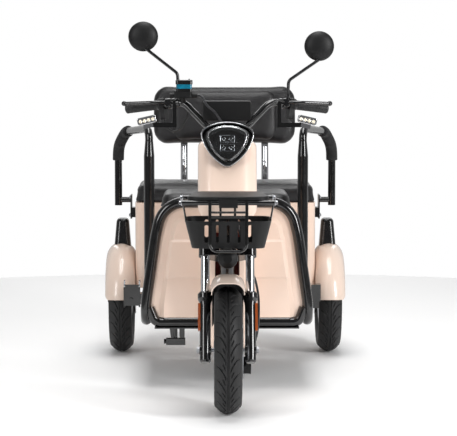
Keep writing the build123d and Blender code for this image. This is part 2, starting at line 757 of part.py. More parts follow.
# ---------------------------------------------------------------- horn
HORN_Y = FRONT_AXLE_Y + 78
HORN_Z = 506
with BuildPart() as horn:
    with BuildSketch(side_view(0)):
        with BuildLine():
            Polyline(
                (HORN_Y - 22, HORN_Z),
                (HORN_Y - 22, HORN_Z + 14),
                (HORN_Y - 12, HORN_Z + 31),
                (HORN_Y - 4, HORN_Z + 34),
                (HORN_Y + 2, HORN_Z + 34),
                (HORN_Y + 2, HORN_Z + 26),
                (HORN_Y + 14, HORN_Z + 18),
                (HORN_Y + 14, HORN_Z),
                close=True,
            )
        make_face()
    revolve(axis=Axis((0, HORN_Y, HORN_Z), (0, 1, 0)))
    with BuildSketch(side_view(-10)):
        with BuildLine():
            Polyline(
                (HORN_Y + 14, HORN_Z - 4),
                (HORN_Y + 14, HORN_Z + 8),
                (HORN_Y + 46, HORN_Z + 32),
                (HORN_Y + 46, HORN_Z + 20),
                close=True,
            )
        make_face()
    extrude(amount=20)
    add(fork_crown.part, mode=Mode.SUBTRACT)
save(horn, "horn")

# ---------------------------------------------------------------- handlebar and controls
BAR_RADIUS = 12
BAR_END = (345, FRONT_AXLE_Y + 462, 992)
BAR_SHOULDER = (150, FRONT_AXLE_Y + 392, 1018)
BAR_CENTRE = (62, FRONT_AXLE_Y + 356, 926)


def mirrored(point, side):
    """The point on the chosen side of the vehicle."""
    return (side * point[0], point[1], point[2])


def bar_point(side, distance):
    """A point on the grip's centre line, at a distance inwards from the bar's end."""
    end = Vector(*mirrored(BAR_END, side))
    inwards = (Vector(*mirrored(BAR_SHOULDER, side)) - end).normalized()
    return end + inwards * distance


with BuildPart() as handlebar:
    add_tube(
        [mirrored(BAR_END, -1), mirrored(BAR_SHOULDER, -1), mirrored(BAR_CENTRE, -1)]
        + [BAR_CENTRE, BAR_SHOULDER, BAR_END],
        [55, 45, 45, 55],
        BAR_RADIUS,
    )
    with BuildSketch(steering.offset(STEM_TOP - 34)):
        Circle(24)
    extrude(amount=38)
    add_block(
        (-26, FRONT_AXLE_Y + 336, 906),
        (26, FRONT_AXLE_Y + 376, 946),
    )
    add(fork_crown.part, mode=Mode.SUBTRACT)
save(handlebar, "handlebar")

GRIP_LENGTH = 118
GRIP_RADIUS = 17
POD_STATION = 124
PERCH_STATION = 141
HANGER_STATION = 168
tip = bar_point(1, -6)
root = bar_point(1, GRIP_LENGTH)
with BuildPart() as grip:
    add_rod(tip, root, GRIP_RADIUS)
    add_rod(root, bar_point(1, GRIP_LENGTH + 5), GRIP_RADIUS + 5)
    fillet(grip.edges().sort_by(Axis.X)[-1], 6)
    add(handlebar.part, mode=Mode.SUBTRACT)
save_pair(grip, "grips")

pivot = bar_point(1, PERCH_STATION + 9)
lever_end = (356, FRONT_AXLE_Y + 398, 1012)
with BuildPart() as brake_lever:
    add_rod(bar_point(1, PERCH_STATION), bar_point(1, PERCH_STATION + 22), 18)
    add_rod(pivot, pivot + Vector(0, -46, 6), 11)
    add_tube(
        [tuple(pivot + Vector(0, -38, 5)), tuple(pivot + Vector(45, -52, 6)), lever_end],
        [60],
        6,
    )
    with Locations(lever_end):
        Sphere(9)
    add(handlebar.part, mode=Mode.SUBTRACT)
save_pair(brake_lever, "brake_levers")

with BuildPart() as switch_pod:
    with BuildSketch(Plane(origin=bar_point(1, POD_STATION), z_dir=bar_point(1, 1) - bar_point(1, 0))):
        Circle(22)
        with Locations((0, -26)):
            RectangleRounded(34, 54, 6)
    extrude(amount=16)
    add(handlebar.part, mode=Mode.SUBTRACT)
with BuildPart() as switch_pods:
    add(switch_pod.part)
    mirror(switch_pod.part, about=Plane.YZ)
save(switch_pods, "switch_pods")

RESERVOIR_X = -148
RESERVOIR_Y = FRONT_AXLE_Y + 366
RESERVOIR_Z = 1056
with BuildPart() as right_lever:
    mirror(brake_lever.part, about=Plane.YZ)
with BuildPart() as master_cylinder:
    with BuildSketch(Plane.XY.offset(RESERVOIR_Z - 22)):
        with Locations((RESERVOIR_X - 4, RESERVOIR_Y)):
            RectangleRounded(60, 40, 6)
    extrude(amount=22)
    add_rod((RESERVOIR_X - 50, RESERVOIR_Y, 1040), (RESERVOIR_X + 46, RESERVOIR_Y, 1040), 9)
    add_rod((RESERVOIR_X - 4, RESERVOIR_Y, 1040), (RESERVOIR_X - 4, RESERVOIR_Y + 24, 1016), 10)
    add(handlebar.part, mode=Mode.SUBTRACT)
    add(right_lever.part, mode=Mode.SUBTRACT)
save(master_cylinder, "master_cylinder")

with BuildPart() as fluid_reservoir:
    with BuildSketch(Plane.XY.offset(RESERVOIR_Z)):
        with Locations((RESERVOIR_X, RESERVOIR_Y)):
            RectangleRounded(54, 42, 8)
    extrude(amount=36)
save(fluid_reservoir, "fluid_reservoir")

MIRROR_RADIUS = 51
STALK_Y = FRONT_AXLE_Y + 400
MIRROR_Y = FRONT_AXLE_Y + 422
mirror_heads = {
    "left": (PERCH_STATION + 3, (213, 1091), (320, 1164), (320, 1210)),
    "right": (190, (-171, 1116), (-284, 1204), (-290, 1243)),
}
with BuildPart() as mirrors:
    for name, side in SIDES:
        station, knee, stalk_end, centre = mirror_heads[name]
        foot = bar_point(side, station)
        add_rod(bar_point(side, station - 5), bar_point(side, station + 5), BAR_RADIUS + 4)
        add_tube(
            [
                (foot.X, foot.Y, foot.Z + 10),
                (knee[0], STALK_Y, knee[1]),
                (stalk_end[0], MIRROR_Y - 6, stalk_end[1]),
            ],
            [22],
            5.5,
        )
        with BuildSketch(front_view(MIRROR_Y + 14)):
            with Locations(centre):
                Circle(MIRROR_RADIUS)
        extrude(amount=12)
        with BuildSketch(front_view(MIRROR_Y + 2)):
            with Locations(centre):
                Circle(MIRROR_RADIUS)
        extrude(amount=16, taper=38)
    add(handlebar.part, mode=Mode.SUBTRACT)
    add(brake_lever.part, mode=Mode.SUBTRACT)
    add(right_lever.part, mode=Mode.SUBTRACT)
    add(master_cylinder.part, mode=Mode.SUBTRACT)
    add(switch_pods.part, mode=Mode.SUBTRACT)
save(mirrors, "mirrors")

BOX_Y = FRONT_AXLE_Y + 352
with BuildPart() as instrument_box:
    with BuildSketch(front_view(BOX_Y + 44)):
        with Locations((0, 988)):
            RectangleRounded(168, 68, 10)
    extrude(amount=44)
    fillet(instrument_box.faces().sort_by(Axis.Y)[0].edges(), 4)
    add_block((-25, BOX_Y + 2, 944), (25, BOX_Y + 6, 956))
    add(handlebar.part, mode=Mode.SUBTRACT)
save(instrument_box, "instrument_box")

hanger = bar_point(1, HANGER_STATION + 5)
HANGER_Y = hanger.Y - 17
SPOTLIGHT_TURN = 13
with BuildPart() as spotlight_bracket:
    add_rod(bar_point(1, HANGER_STATION), bar_point(1, HANGER_STATION + 10), 16)
    add_block((hanger.X - 9, HANGER_Y, 930), (hanger.X + 4, HANGER_Y + 4, hanger.Z + 8))
    add_block((hanger.X - 9, HANGER_Y, 930), (hanger.X + 96, HANGER_Y + 4, 946))
    add(handlebar.part, mode=Mode.SUBTRACT)
    add(mirrors.part, mode=Mode.SUBTRACT)
    add(mirrors.part.mirror(Plane.YZ), mode=Mode.SUBTRACT)
save_pair(spotlight_bracket, "spotlight_brackets")

with BuildPart() as spotlight:
    with BuildSketch(front_view(HANGER_Y)):
        with Locations((277, 955)):
            RectangleRounded(66, 26, 6, rotation=-SPOTLIGHT_TURN)
    extrude(amount=26)
    fillet(spotlight.faces().sort_by(Axis.Y)[0].edges(), 3)
    with BuildSketch(front_view(HANGER_Y)):
        with Locations((272, 936)):
            RectangleRounded(34, 16, 4, rotation=-SPOTLIGHT_TURN)
    extrude(amount=14)
save_pair(spotlight, "spotlights")

# ---------------------------------------------------------------- hose and cables on the steering
with BuildPart() as brake_hose:
    add_cable(
        [
            (RESERVOIR_X + 40, RESERVOIR_Y, 1040),
            (RESERVOIR_X + 62, RESERVOIR_Y - 20, 1040),
            (RESERVOIR_X + 78, RESERVOIR_Y - 34, 1006),
            tuple(on_steering(-42, -44, 846)),
            tuple(on_steering(-14, -40, 800)),
            tuple(on_steering(14, -34, 755)),
            tuple(on_steering(27, -25, 700)),
            tuple(on_steering(28, -24, 620)),
            tuple(on_steering(28, -23, 540)),
            tuple(on_steering(30, -22, 470)),
            tuple(on_steering(42, -14, 415)),
            tuple(on_steering(58, 13, 365)),
            tuple(on_steering(70, 16, 312)),
            tuple(on_steering(92, 4, 262)),
            tuple(on_steering(103, -16, 200)),
            tuple(on_steering(104, -22, 130)),
            tuple(on_steering(99, -8, 70)),
            tuple(on_steering(86, 12, 25)),
            (74, CALIPER_Y + 4, CALIPER_Z + 8),
        ],
        4,
    )
    add(master_cylinder.part, mode=Mode.SUBTRACT)
    add(brake_caliper.part, mode=Mode.SUBTRACT)
save(brake_hose, "brake_hose")

with BuildPart() as control_cables:
    add_cable(
        [
            (-222, FRONT_AXLE_Y + 414, 985),
            (-216, FRONT_AXLE_Y + 410, 942),
            (-192, FRONT_AXLE_Y + 404, 912),
            (-160, FRONT_AXLE_Y + 400, 922),
            (-141, FRONT_AXLE_Y + 394, 960),
            (-130, FRONT_AXLE_Y + 386, 998),
        ],
        3,
    )
    add_cable(
        [
            tuple(pivot + Vector(-4, -40, 6)),
            (176, FRONT_AXLE_Y + 352, 1026),
            (146, FRONT_AXLE_Y + 340, 1006),
            (112, FRONT_AXLE_Y + 330, 974),
            (76, FRONT_AXLE_Y + 326, 944),
            (44, FRONT_AXLE_Y + 330, 926),
            (24, FRONT_AXLE_Y + 340, 920),
        ],
        3,
    )
    add(handlebar.part, mode=Mode.SUBTRACT)
    add(brake_lever.part, mode=Mode.SUBTRACT)
    add(switch_pods.part, mode=Mode.SUBTRACT)
save(control_cables, "control_cables")

# ---------------------------------------------------------------- driver's seat
BUCKET_TOP_Z = 610
BUCKET_WALL = 4
with BuildPart() as seat_bucket:
    with BuildSketch(Plane.XY.offset(FLOOR_TOP_Z)):
        with Locations((0, BUCKET_FRONT_Y + 150)):
            RectangleRounded(450, 290, 40)
    with BuildSketch(Plane.XY.offset(BUCKET_TOP_Z)):
        with Locations((0, BUCKET_FRONT_Y + 150)):
            RectangleRounded(480, 296, 40)
    loft()
    offset(amount=-BUCKET_WALL, openings=seat_bucket.faces().sort_by(Axis.Z)[-1])
save(seat_bucket, "seat_bucket")

with BuildPart() as battery_pack:
    add_block(
        (-180, BUCKET_FRONT_Y + 40, FLOOR_TOP_Z + BUCKET_WALL),
        (180, BUCKET_FRONT_Y + 220, FLOOR_TOP_Z + BUCKET_WALL + 175),
    )
save(battery_pack, "battery_pack")

DRIVER_SEAT_TOP_Z = 667
with BuildPart() as driver_seat:
    with BuildSketch(Plane.XY.offset(BUCKET_TOP_Z)):
        with Locations((0, BUCKET_FRONT_Y + 147)):
            RectangleRounded(508, 300, 45)
    extrude(amount=DRIVER_SEAT_TOP_Z - BUCKET_TOP_Z)
    fillet(driver_seat.faces().sort_by(Axis.Z)[-1].edges(), 18)
save(driver_seat, "driver_seat")

# ---------------------------------------------------------------- rear box, bench and backrest
REAR_BOX_HALF = 351
REAR_BOX_TOP_Z = 603
REAR_BOX_LOW_Z = 270
REAR_BOX_FLOOR_Z = REAR_RAIL_Z + FRAME_TUBE
BENCH_REAR_Y = FRONT_AXLE_Y + 1600
with BuildPart() as rear_box:
    with BuildSketch(Plane.XY.offset(REAR_BOX_LOW_Z)):
        with Locations((0, (REAR_BOX_FRONT_Y + REAR_BOX_REAR_Y) / 2)):
            RectangleRounded(2 * REAR_BOX_HALF, REAR_BOX_REAR_Y - REAR_BOX_FRONT_Y, 30)
            RectangleRounded(
                2 * REAR_BOX_HALF - 8, REAR_BOX_REAR_Y - REAR_BOX_FRONT_Y - 8, 26, mode=Mode.SUBTRACT
            )
    extrude(amount=REAR_BOX_TOP_Z - REAR_BOX_LOW_Z)
    with BuildSketch(Plane.XY.offset(REAR_BOX_FLOOR_Z)):
        with Locations((0, (REAR_BOX_FRONT_Y + REAR_BOX_REAR_Y) / 2)):
            RectangleRounded(2 * REAR_BOX_HALF - 2, REAR_BOX_REAR_Y - REAR_BOX_FRONT_Y - 2, 29)
    extrude(amount=4)
    add_block(
        (-REAR_BOX_HALF + 20, BENCH_REAR_Y + 5, REAR_BOX_TOP_Z - 4),
        (REAR_BOX_HALF - 20, REAR_BOX_REAR_Y - 2, REAR_BOX_TOP_Z),
    )
    with BuildSketch(side_view(-REAR_BOX_HALF - 10)):
        with Locations((REAR_AXLE_Y, WHEEL_RADIUS)):
            Circle(118)
    extrude(amount=2 * REAR_BOX_HALF + 20, mode=Mode.SUBTRACT)
    for _, side in SIDES:
        slot = sorted((side * 200, side * 306))
        add_block(
            (slot[0], REAR_BOX_FRONT_Y - 1, REAR_BOX_LOW_Z - 1),
            (slot[1], REAR_BOX_FRONT_Y + 5, REAR_BOX_FLOOR_Z),
            Mode.SUBTRACT,
        )
    add(side_rails.part, mode=Mode.SUBTRACT)
save(rear_box, "rear_box")

PASSENGER_SEAT_TOP_Z = 670
with BuildPart() as passenger_seat:
    with BuildSketch(Plane.XY.offset(REAR_BOX_TOP_Z)):
        with Locations((0, (REAR_BOX_FRONT_Y + BENCH_REAR_Y) / 2)):
            RectangleRounded(720, BENCH_REAR_Y - REAR_BOX_FRONT_Y, 45)
    extrude(amount=PASSENGER_SEAT_TOP_Z - REAR_BOX_TOP_Z)
    fillet(passenger_seat.faces().sort_by(Axis.Z)[-1].edges(), 22)
save(passenger_seat, "passenger_seat")

BACKREST_LOW_Z = 802
BACKREST_HIGH_Z = 1054
BACKREST_LEAN = 8
backrest_plane = Plane(
    origin=(0, BACKREST_Y, BACKREST_LOW_Z),
    x_dir=(1, 0, 0),
    z_dir=(0, -cos(radians(BACKREST_LEAN)), sin(radians(BACKREST_LEAN))),
)
BACKREST_HEIGHT = (BACKREST_HIGH_Z - BACKREST_LOW_Z) / cos(radians(BACKREST_LEAN))
BACKREST_THICKNESS = 60
with BuildPart() as backrest:
    with BuildSketch(backrest_plane):
        with Locations((0, BACKREST_HEIGHT / 2)):
            RectangleRounded(618, BACKREST_HEIGHT, 70)
    extrude(amount=BACKREST_THICKNESS / 2, both=True)
    fillet(backrest.faces().sort_by(Axis.Y)[0].edges(), 18)
save(backrest, "backrest")

BACK_POST_X = 166
BACK_POST_RADIUS = 14.5
with BuildPart() as backrest_posts:
    for _, side in SIDES:
        x = side * BACK_POST_X
        add_tube(
            [
                (x, BACKREST_Y + 8, REAR_BOX_TOP_Z),
                (x, BACKREST_Y + 8, 740),
                (x, BACKREST_Y + 72, 960),
            ],
            [250],
            BACK_POST_RADIUS,
        )
        with BuildSketch(Plane.XY.offset(REAR_BOX_TOP_Z)):
            with Locations((x, BACKREST_Y + 2)):
                RectangleRounded(60, 56, 8)
        extrude(amount=5)
    add(backrest.part, mode=Mode.SUBTRACT)
save(backrest_posts, "backrest_posts")

# ---------------------------------------------------------------- side posts and armrests
ARM_X = 420
ARM_REAR_Y = FRONT_AXLE_Y + 1350
ARM_TUBE = 14.5
POST_RADIUS = 19.5
POST_SLEEVE_Z = 805
POST_NECK_Z = 862
ARM_FOOT_Z = 608
arm_shoulder = (RAIL_X, POST_Y, 908)
arm_elbow = (ARM_X - 35, ARM_REAR_Y - 100, 880)
arm_wrist = (ARM_X, ARM_REAR_Y, 819)
with BuildPart() as armrest:
    add_rod((RAIL_X, POST_Y, RAIL_Z), (RAIL_X, POST_Y, POST_SLEEVE_Z), POST_RADIUS)
    with BuildSketch(Plane.XY.offset(POST_SLEEVE_Z)):
        with Locations((RAIL_X, POST_Y)):
            Circle(POST_RADIUS)
    with BuildSketch(Plane.XY.offset(POST_NECK_Z)):
        with Locations((RAIL_X, POST_Y)):
            Circle(ARM_TUBE)
    loft()
    add_tube(
        [
            (RAIL_X, POST_Y, POST_SLEEVE_Z + 10),
            arm_shoulder,
            arm_elbow,
            arm_wrist,
            (ARM_X, ARM_REAR_Y, ARM_FOOT_Z - 22),
        ],
        [40, 70, 60],
        ARM_TUBE,
    )
    add_rod((ARM_X, ARM_REAR_Y, ARM_FOOT_Z), (371, ARM_REAR_Y, ARM_FOOT_Z), 11)
    add_block((366, ARM_REAR_Y - 34, 535), (372, ARM_REAR_Y + 34, 628))
    add_block((REAR_BOX_HALF, ARM_REAR_Y - 26, 540), (367, ARM_REAR_Y + 26, 578))
    add(side_rails.part, mode=Mode.SUBTRACT)
save(armrest, "armrest_left")
with BuildPart() as armrest_right:
    mirror(armrest.part, about=Plane.YZ)
save(armrest_right, "armrest_right")

grip_start = Vector(*arm_elbow) + (Vector(*arm_shoulder) - Vector(*arm_elbow)).normalized() * 42
with BuildPart() as armrest_grip:
    add_tube([tuple(grip_start), arm_elbow, arm_wrist, (ARM_X, ARM_REAR_Y, 763)], [70, 60], 22.5)
    add(armrest.part, mode=Mode.SUBTRACT)
save_pair(armrest_grip, "armrest_grips")

# ---------------------------------------------------------------- rear axle, springs and motor
AXLE_TUBE = 25
SPRING_X = 240
DRUM_FACE_X = REAR_TRACK / 2 - 42
with BuildPart() as rear_axle:
    add_rod((-DRUM_FACE_X + 6, REAR_AXLE_Y, WHEEL_RADIUS), (DRUM_FACE_X - 6, REAR_AXLE_Y, WHEEL_RADIUS), AXLE_TUBE)
    for _, side in SIDES:
        add_rod(
            (side * (DRUM_FACE_X - 7), REAR_AXLE_Y, WHEEL_RADIUS),
            (side * 466, REAR_AXLE_Y, WHEEL_RADIUS),
            REAR_STUB_RADIUS,
        )
        add_rod((side * 454, REAR_AXLE_Y, WHEEL_RADIUS), (side * 466, REAR_AXLE_Y, WHEEL_RADIUS), 17)
        add_rod(
            (side * (DRUM_FACE_X - 14), REAR_AXLE_Y, WHEEL_RADIUS),
            (side * (DRUM_FACE_X - 6), REAR_AXLE_Y, WHEEL_RADIUS),
            60,
        )
        add_block(
            (side * SPRING_X - 30, REAR_AXLE_Y - 40, WHEEL_RADIUS + 15),
            (side * SPRING_X + 30, REAR_AXLE_Y + 40, WHEEL_RADIUS + 32),
        )
    with Locations((0, REAR_AXLE_Y, WHEEL_RADIUS)):
        Sphere(80)
    add_rod((20, REAR_AXLE_Y, WHEEL_RADIUS), (190, REAR_AXLE_Y, WHEEL_RADIUS), 72)
save(rear_axle, "rear_axle")

with BuildPart() as rear_springs:
    for _, side in SIDES:
        with BuildSketch(side_view(side * SPRING_X - 22)):
            with BuildLine():
                ThreePointArc(
                    (REAR_AXLE_Y - 200, REAR_RAIL_Z - 34),
                    (REAR_AXLE_Y, WHEEL_RADIUS + 32),
                    (REAR_AXLE_Y + 200, REAR_RAIL_Z - 34),
                )
                Line((REAR_AXLE_Y + 200, REAR_RAIL_Z - 34), (REAR_AXLE_Y + 200, REAR_RAIL_Z - 22))
                ThreePointArc(
                    (REAR_AXLE_Y + 200, REAR_RAIL_Z - 22),
                    (REAR_AXLE_Y, WHEEL_RADIUS + 50),
                    (REAR_AXLE_Y - 200, REAR_RAIL_Z - 22),
                )
                Line((REAR_AXLE_Y - 200, REAR_RAIL_Z - 22), (REAR_AXLE_Y - 200, REAR_RAIL_Z - 34))
            make_face()
        extrude(amount=44)
        for end in (-196, 196):
            add_block(
                (side * SPRING_X - 22, REAR_AXLE_Y + end - 14, REAR_RAIL_Z - 32),
                (side * SPRING_X + 30, REAR_AXLE_Y + end + 14, REAR_RAIL_Z - 8),
            )
    add(side_rails.part, mode=Mode.SUBTRACT)
save(rear_springs, "rear_springs")

# ---------------------------------------------------------------- rear fenders and their lamps
REAR_FENDER_CREST = 225
REAR_FENDER_HALF = 59
REAR_FENDER_SKIRT = 140
REAR_ARCH = REAR_FENDER_CREST - REAR_FENDER_HALF


def fender_profile(half, crest, skirt):
    """Closed arch with a round top and straight sides that stop at the skirt radius."""
    with BuildSketch() as profile:
        with BuildLine():
            Line((-half, skirt), (-half, crest - half))
            ThreePointArc((-half, crest - half), (0, crest), (half, crest - half))
            Line((half, crest - half), (half, skirt))
            Line((half, skirt), (-half, skirt))
        make_face()
    return profile.sketch


WHEEL_X = REAR_TRACK / 2
with BuildPart() as fender_block:
    with BuildSketch(radial_plane(WHEEL_X, REAR_AXLE_Y, 62)):
        add(fender_profile(REAR_FENDER_HALF, REAR_FENDER_CREST, REAR_FENDER_SKIRT))
    revolve(axis=axle_line(REAR_AXLE_Y), revolution_arc=147)

with BuildPart() as rear_fender:
    add(fender_block.part)
    with BuildSketch(radial_plane(WHEEL_X, REAR_AXLE_Y, 66)):
        add(fender_profile(REAR_FENDER_HALF - 4, REAR_FENDER_CREST - 4, REAR_FENDER_SKIRT - 10))
    revolve(axis=axle_line(REAR_AXLE_Y), revolution_arc=160, mode=Mode.SUBTRACT)
    fender_front_z = WHEEL_RADIUS + REAR_FENDER_CREST * sin(radians(5)) - 6
    with BuildSketch(front_view(REAR_AXLE_Y - 100)):
        with Locations((WHEEL_X, fender_front_z + 25)):
            Rectangle(2 * REAR_FENDER_HALF + 20, 70)
        with Locations((WHEEL_X, fender_front_z + 100)):
            RectangleRounded(2 * REAR_FENDER_HALF + 1, 200, 26, mode=Mode.SUBTRACT)
    extrude(amount=200, mode=Mode.SUBTRACT)
save_pair(rear_fender, "rear_fenders")

with BuildPart() as fender_lamp:
    with BuildSketch(Plane.XY.offset(WHEEL_RADIUS + REAR_FENDER_CREST - 22)):
        with Locations((406, REAR_AXLE_Y + 6)):
            RectangleRounded(66, 92, 18)
    with BuildSketch(Plane.XY.offset(530)):
        with Locations((406, REAR_AXLE_Y + 14)):
            RectangleRounded(47, 62, 18)
    loft()
    fillet(fender_lamp.faces().sort_by(Axis.Z)[-1].edges(), 15)
    add(fender_block.part, mode=Mode.SUBTRACT)
save_pair(fender_lamp, "fender_lamps")

# ---------------------------------------------------------------- brake pedal and rear bumper
with BuildPart() as brake_pedal:
    with BuildSketch(front_view(PEDAL_Y + 3)):
        with BuildLine():
            Polyline(
                (PEDAL_X - 30, FLOOR_Z), (PEDAL_X + 6, FLOOR_Z), (PEDAL_X + 3, 150), (PEDAL_X - 15, 150), close=True
            )
        make_face()
        with Locations((PEDAL_X + 23, (FLOOR_Z + 145) / 2)):
            Rectangle(19, FLOOR_Z - 145)
    extrude(amount=6)
    add_block((PEDAL_X - 34, PEDAL_Y - 14, 141), (PEDAL_X + 35, PEDAL_Y + 14, 164))
    with BuildSketch(side_view(PEDAL_X - 42)):
        with Locations((PEDAL_Y, 153)):
            RegularPolygon(9, 6)
    extrude(amount=9)
    add_tube(
        [(PEDAL_X, PEDAL_Y, 150), (PEDAL_X, PEDAL_Y - 20, 250), (PEDAL_X, PEDAL_Y - 60, 330)],
        [60],
        7,
    )
    add_block((PEDAL_X - 35, PEDAL_Y - 72, 322), (PEDAL_X + 35, PEDAL_Y - 56, 372))
save(brake_pedal, "brake_pedal")

BRACKET_FRONT_Y = FRONT_AXLE_Y + 1118
BRACKET_REAR_Y = FRONT_AXLE_Y + 1168
with BuildPart() as side_brackets:
    for x in (-392, -334):
        with BuildSketch(side_view(x)):
            with BuildLine():
                FilletPolyline(
                    (BRACKET_FRONT_Y, 209),
                    (BRACKET_REAR_Y, 209),
                    (BRACKET_REAR_Y, 312),
                    (BRACKET_REAR_Y - 26, 312),
                    (BRACKET_FRONT_Y, 286),
                    radius=8,
                    close=True,
                )
            make_face()
        extrude(amount=6)
    add_block((-391, BRACKET_FRONT_Y + 6, 215), (-330, BRACKET_FRONT_Y + 11, 297))
    add_rod((-363, BRACKET_FRONT_Y - 4, 238), (-363, BRACKET_FRONT_Y + 8, 238), 8)
    add_block((-332, BRACKET_FRONT_Y + 10, 226), (-RAIL_X, BRACKET_REAR_Y - 10, 262))
    add_block((329, BRACKET_FRONT_Y, 232), (366, BRACKET_REAR_Y, 297))
    add_block((334, BRACKET_FRONT_Y + 4, 205), (360, BRACKET_REAR_Y - 4, 236))
    add_block((RAIL_X, BRACKET_FRONT_Y + 10, 226), (332, BRACKET_REAR_Y - 10, 262))
    add(side_rails.part, mode=Mode.SUBTRACT)
save(side_brackets, "side_brackets")

BUMPER_RADIUS = 14
with BuildPart() as rear_bumper:
    bumper_y = REAR_END_Y - BUMPER_RADIUS
    add_tube(
        [
            (-RAIL_X, REAR_BOX_REAR_Y - 2, REAR_RAIL_Z),
            (-RAIL_X, bumper_y, REAR_RAIL_Z),
            (RAIL_X, bumper_y, REAR_RAIL_Z),
            (RAIL_X, REAR_BOX_REAR_Y - 2, REAR_RAIL_Z),
        ],
        [24, 24],
        BUMPER_RADIUS,
    )
    add(side_rails.part, mode=Mode.SUBTRACT)
save(rear_bumper, "rear_bumper")

PLATE_HOLE_SPACING = 110
with BuildPart() as plate_bracket:
    plate_y = REAR_END_Y - BUMPER_RADIUS
    add_block((-80, plate_y - 3, REAR_RAIL_Z), (80, plate_y, REAR_RAIL_Z + 95))
    add(rear_bumper.part, mode=Mode.SUBTRACT)
    with BuildSketch(front_view(plate_y)):
        with Locations((-PLATE_HOLE_SPACING / 2, REAR_RAIL_Z + 75), (PLATE_HOLE_SPACING / 2, REAR_RAIL_Z + 75)):
            Circle(3.5)
    extrude(amount=6, both=True, mode=Mode.SUBTRACT)
save(plate_bracket, "plate_bracket")
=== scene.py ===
"""Looks of the electric tricycle: finishes for its modelled pieces, and its tread, cushions, grips, lamps and bolts."""

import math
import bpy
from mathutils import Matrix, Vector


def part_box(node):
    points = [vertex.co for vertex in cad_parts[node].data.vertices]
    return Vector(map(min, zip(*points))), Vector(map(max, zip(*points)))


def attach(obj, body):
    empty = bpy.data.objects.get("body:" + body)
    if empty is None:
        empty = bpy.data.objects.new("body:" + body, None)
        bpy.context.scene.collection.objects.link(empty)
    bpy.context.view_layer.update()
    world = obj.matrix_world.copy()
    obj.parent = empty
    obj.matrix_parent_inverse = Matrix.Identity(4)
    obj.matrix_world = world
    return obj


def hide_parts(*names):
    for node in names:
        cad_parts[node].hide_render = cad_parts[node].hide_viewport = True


bl_info = {
    "name": "Electric tricycle looks",
    "version": (1, 0, 0),
    "blender": (4, 5, 0),
    "location": "3D Viewport > Sidebar > Tricycle",
    "description": "Finishes the tricycle's pieces and models its tread, cushions, grips, lamps and bolts",
    "category": "Object",
}

import bmesh
import bpy
from bpy.props import FloatProperty, FloatVectorProperty, IntProperty, PointerProperty
from bpy.types import Operator, Panel, PropertyGroup
from mathutils import Matrix, Vector

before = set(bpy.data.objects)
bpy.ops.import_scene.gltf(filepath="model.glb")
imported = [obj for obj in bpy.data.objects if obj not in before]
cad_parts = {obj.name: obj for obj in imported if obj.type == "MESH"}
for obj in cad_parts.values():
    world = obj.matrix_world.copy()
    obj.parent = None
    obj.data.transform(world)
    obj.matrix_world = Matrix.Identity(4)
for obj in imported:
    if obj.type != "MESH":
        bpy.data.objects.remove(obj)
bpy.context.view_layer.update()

# Places that the pieces below share, in millimetres: -Y is forwards and +X is the tricycle's left.
FRONT_AXLE = Vector((0, -787.5, 210))
REAR_AXLE = Vector((0, 612.5, 210))
WHEEL_X = 410
RAKE = math.radians(24)
STEERING_ORIGIN = Vector((0, -753.699, 194.951))
STEERING_AXIS = Vector((0, math.sin(RAKE), math.cos(RAKE)))
STEERING_REARWARDS = Vector((0, math.cos(RAKE), -math.sin(RAKE)))


def linear(hex_colour):
    """Linear red, green, blue and alpha of an sRGB hex colour."""
    channels = [int(hex_colour[place : place + 2], 16) / 255 for place in (1, 3, 5)]
    return tuple(c / 12.92 if c <= 0.04045 else ((c + 0.055) / 1.055) ** 2.4 for c in channels) + (1.0,)


def metres(point):
    """A point in millimetres as a point in metres."""
    return Vector(point) * 0.001


def from_axle(x, distance, z):
    """A point at a distance behind the front axle, in millimetres."""
    return Vector((x, FRONT_AXLE.y + distance, z))


def on_steering(x, rearwards, height):
    """A point in the steering's own directions, in millimetres."""
    return STEERING_ORIGIN + Vector((x, 0, 0)) + STEERING_REARWARDS * rearwards + STEERING_AXIS * height


# ---------------------------------------------------------------- settings
def colour(name, description, hex_colour):
    """A colour property with an sRGB hex default."""
    return FloatVectorProperty(
        name=name, description=description, subtype="COLOR", size=4, min=0, max=1, default=linear(hex_colour)
    )


def length(name, description, default, low, high):
    """A length property in metres."""
    return FloatProperty(name=name, description=description, default=default, min=low, max=high, unit="LENGTH")


def power(name, description, default):
    """A property for a light's power, in watts."""
    return FloatProperty(name=name, description=description, default=default, min=0, unit="POWER")


class TricycleColours(PropertyGroup):
    """Colours that an owner would choose."""

    panel: colour("Panels", "Lacquer on the moulded body panels", "#f2d9c8")
    fender: colour("Fenders", "Enamel on the pressed fenders", "#ead5c6")
    tube: colour("Frame", "Enamel on the steel tubes", "#060607")
    leather: colour("Seats", "Artificial leather of the seats", "#100e11")
    fluid: colour("Brake fluid bottle", "Tinted wall of the brake fluid bottle", "#1287a8")


class TricycleSizes(PropertyGroup):
    """Sizes of the details that are modelled here."""

    tread_depth: length("Tread depth", "Depth of the grooves in a tyre", 0.0036, 0.001, 0.006)
    tread_blocks: IntProperty(
        name="Tread blocks", description="Blocks round a tyre on each side", default=25, min=15, max=50
    )
    foam_pitch: length("Foam rib pitch", "Distance from rib to rib on the foam sleeves", 0.0085, 0.004, 0.02)
    swell: length("Cushion swell", "How far a cushion's cover may swell", 0.009, 0.002, 0.02)
    leather_grain: length("Leather grain", "Width of one pebble of the leather's grain", 0.004, 0.001, 0.01)


class TricycleStage(PropertyGroup):
    """Lights and camera."""

    key_power: power("Key light", "Power of the tall light in front, on the camera's left", 70)
    fill_power: power("Fill light", "Power of the tall light in front, on the camera's right", 130)
    top_power: power("Top light", "Power of the light overhead", 100)
    back_power: power("Back light", "Power of the light behind the tricycle", 60)
    lens: FloatProperty(
        name="Lens", description="Focal length of the camera", default=160.6, min=50, max=300, unit="CAMERA"
    )


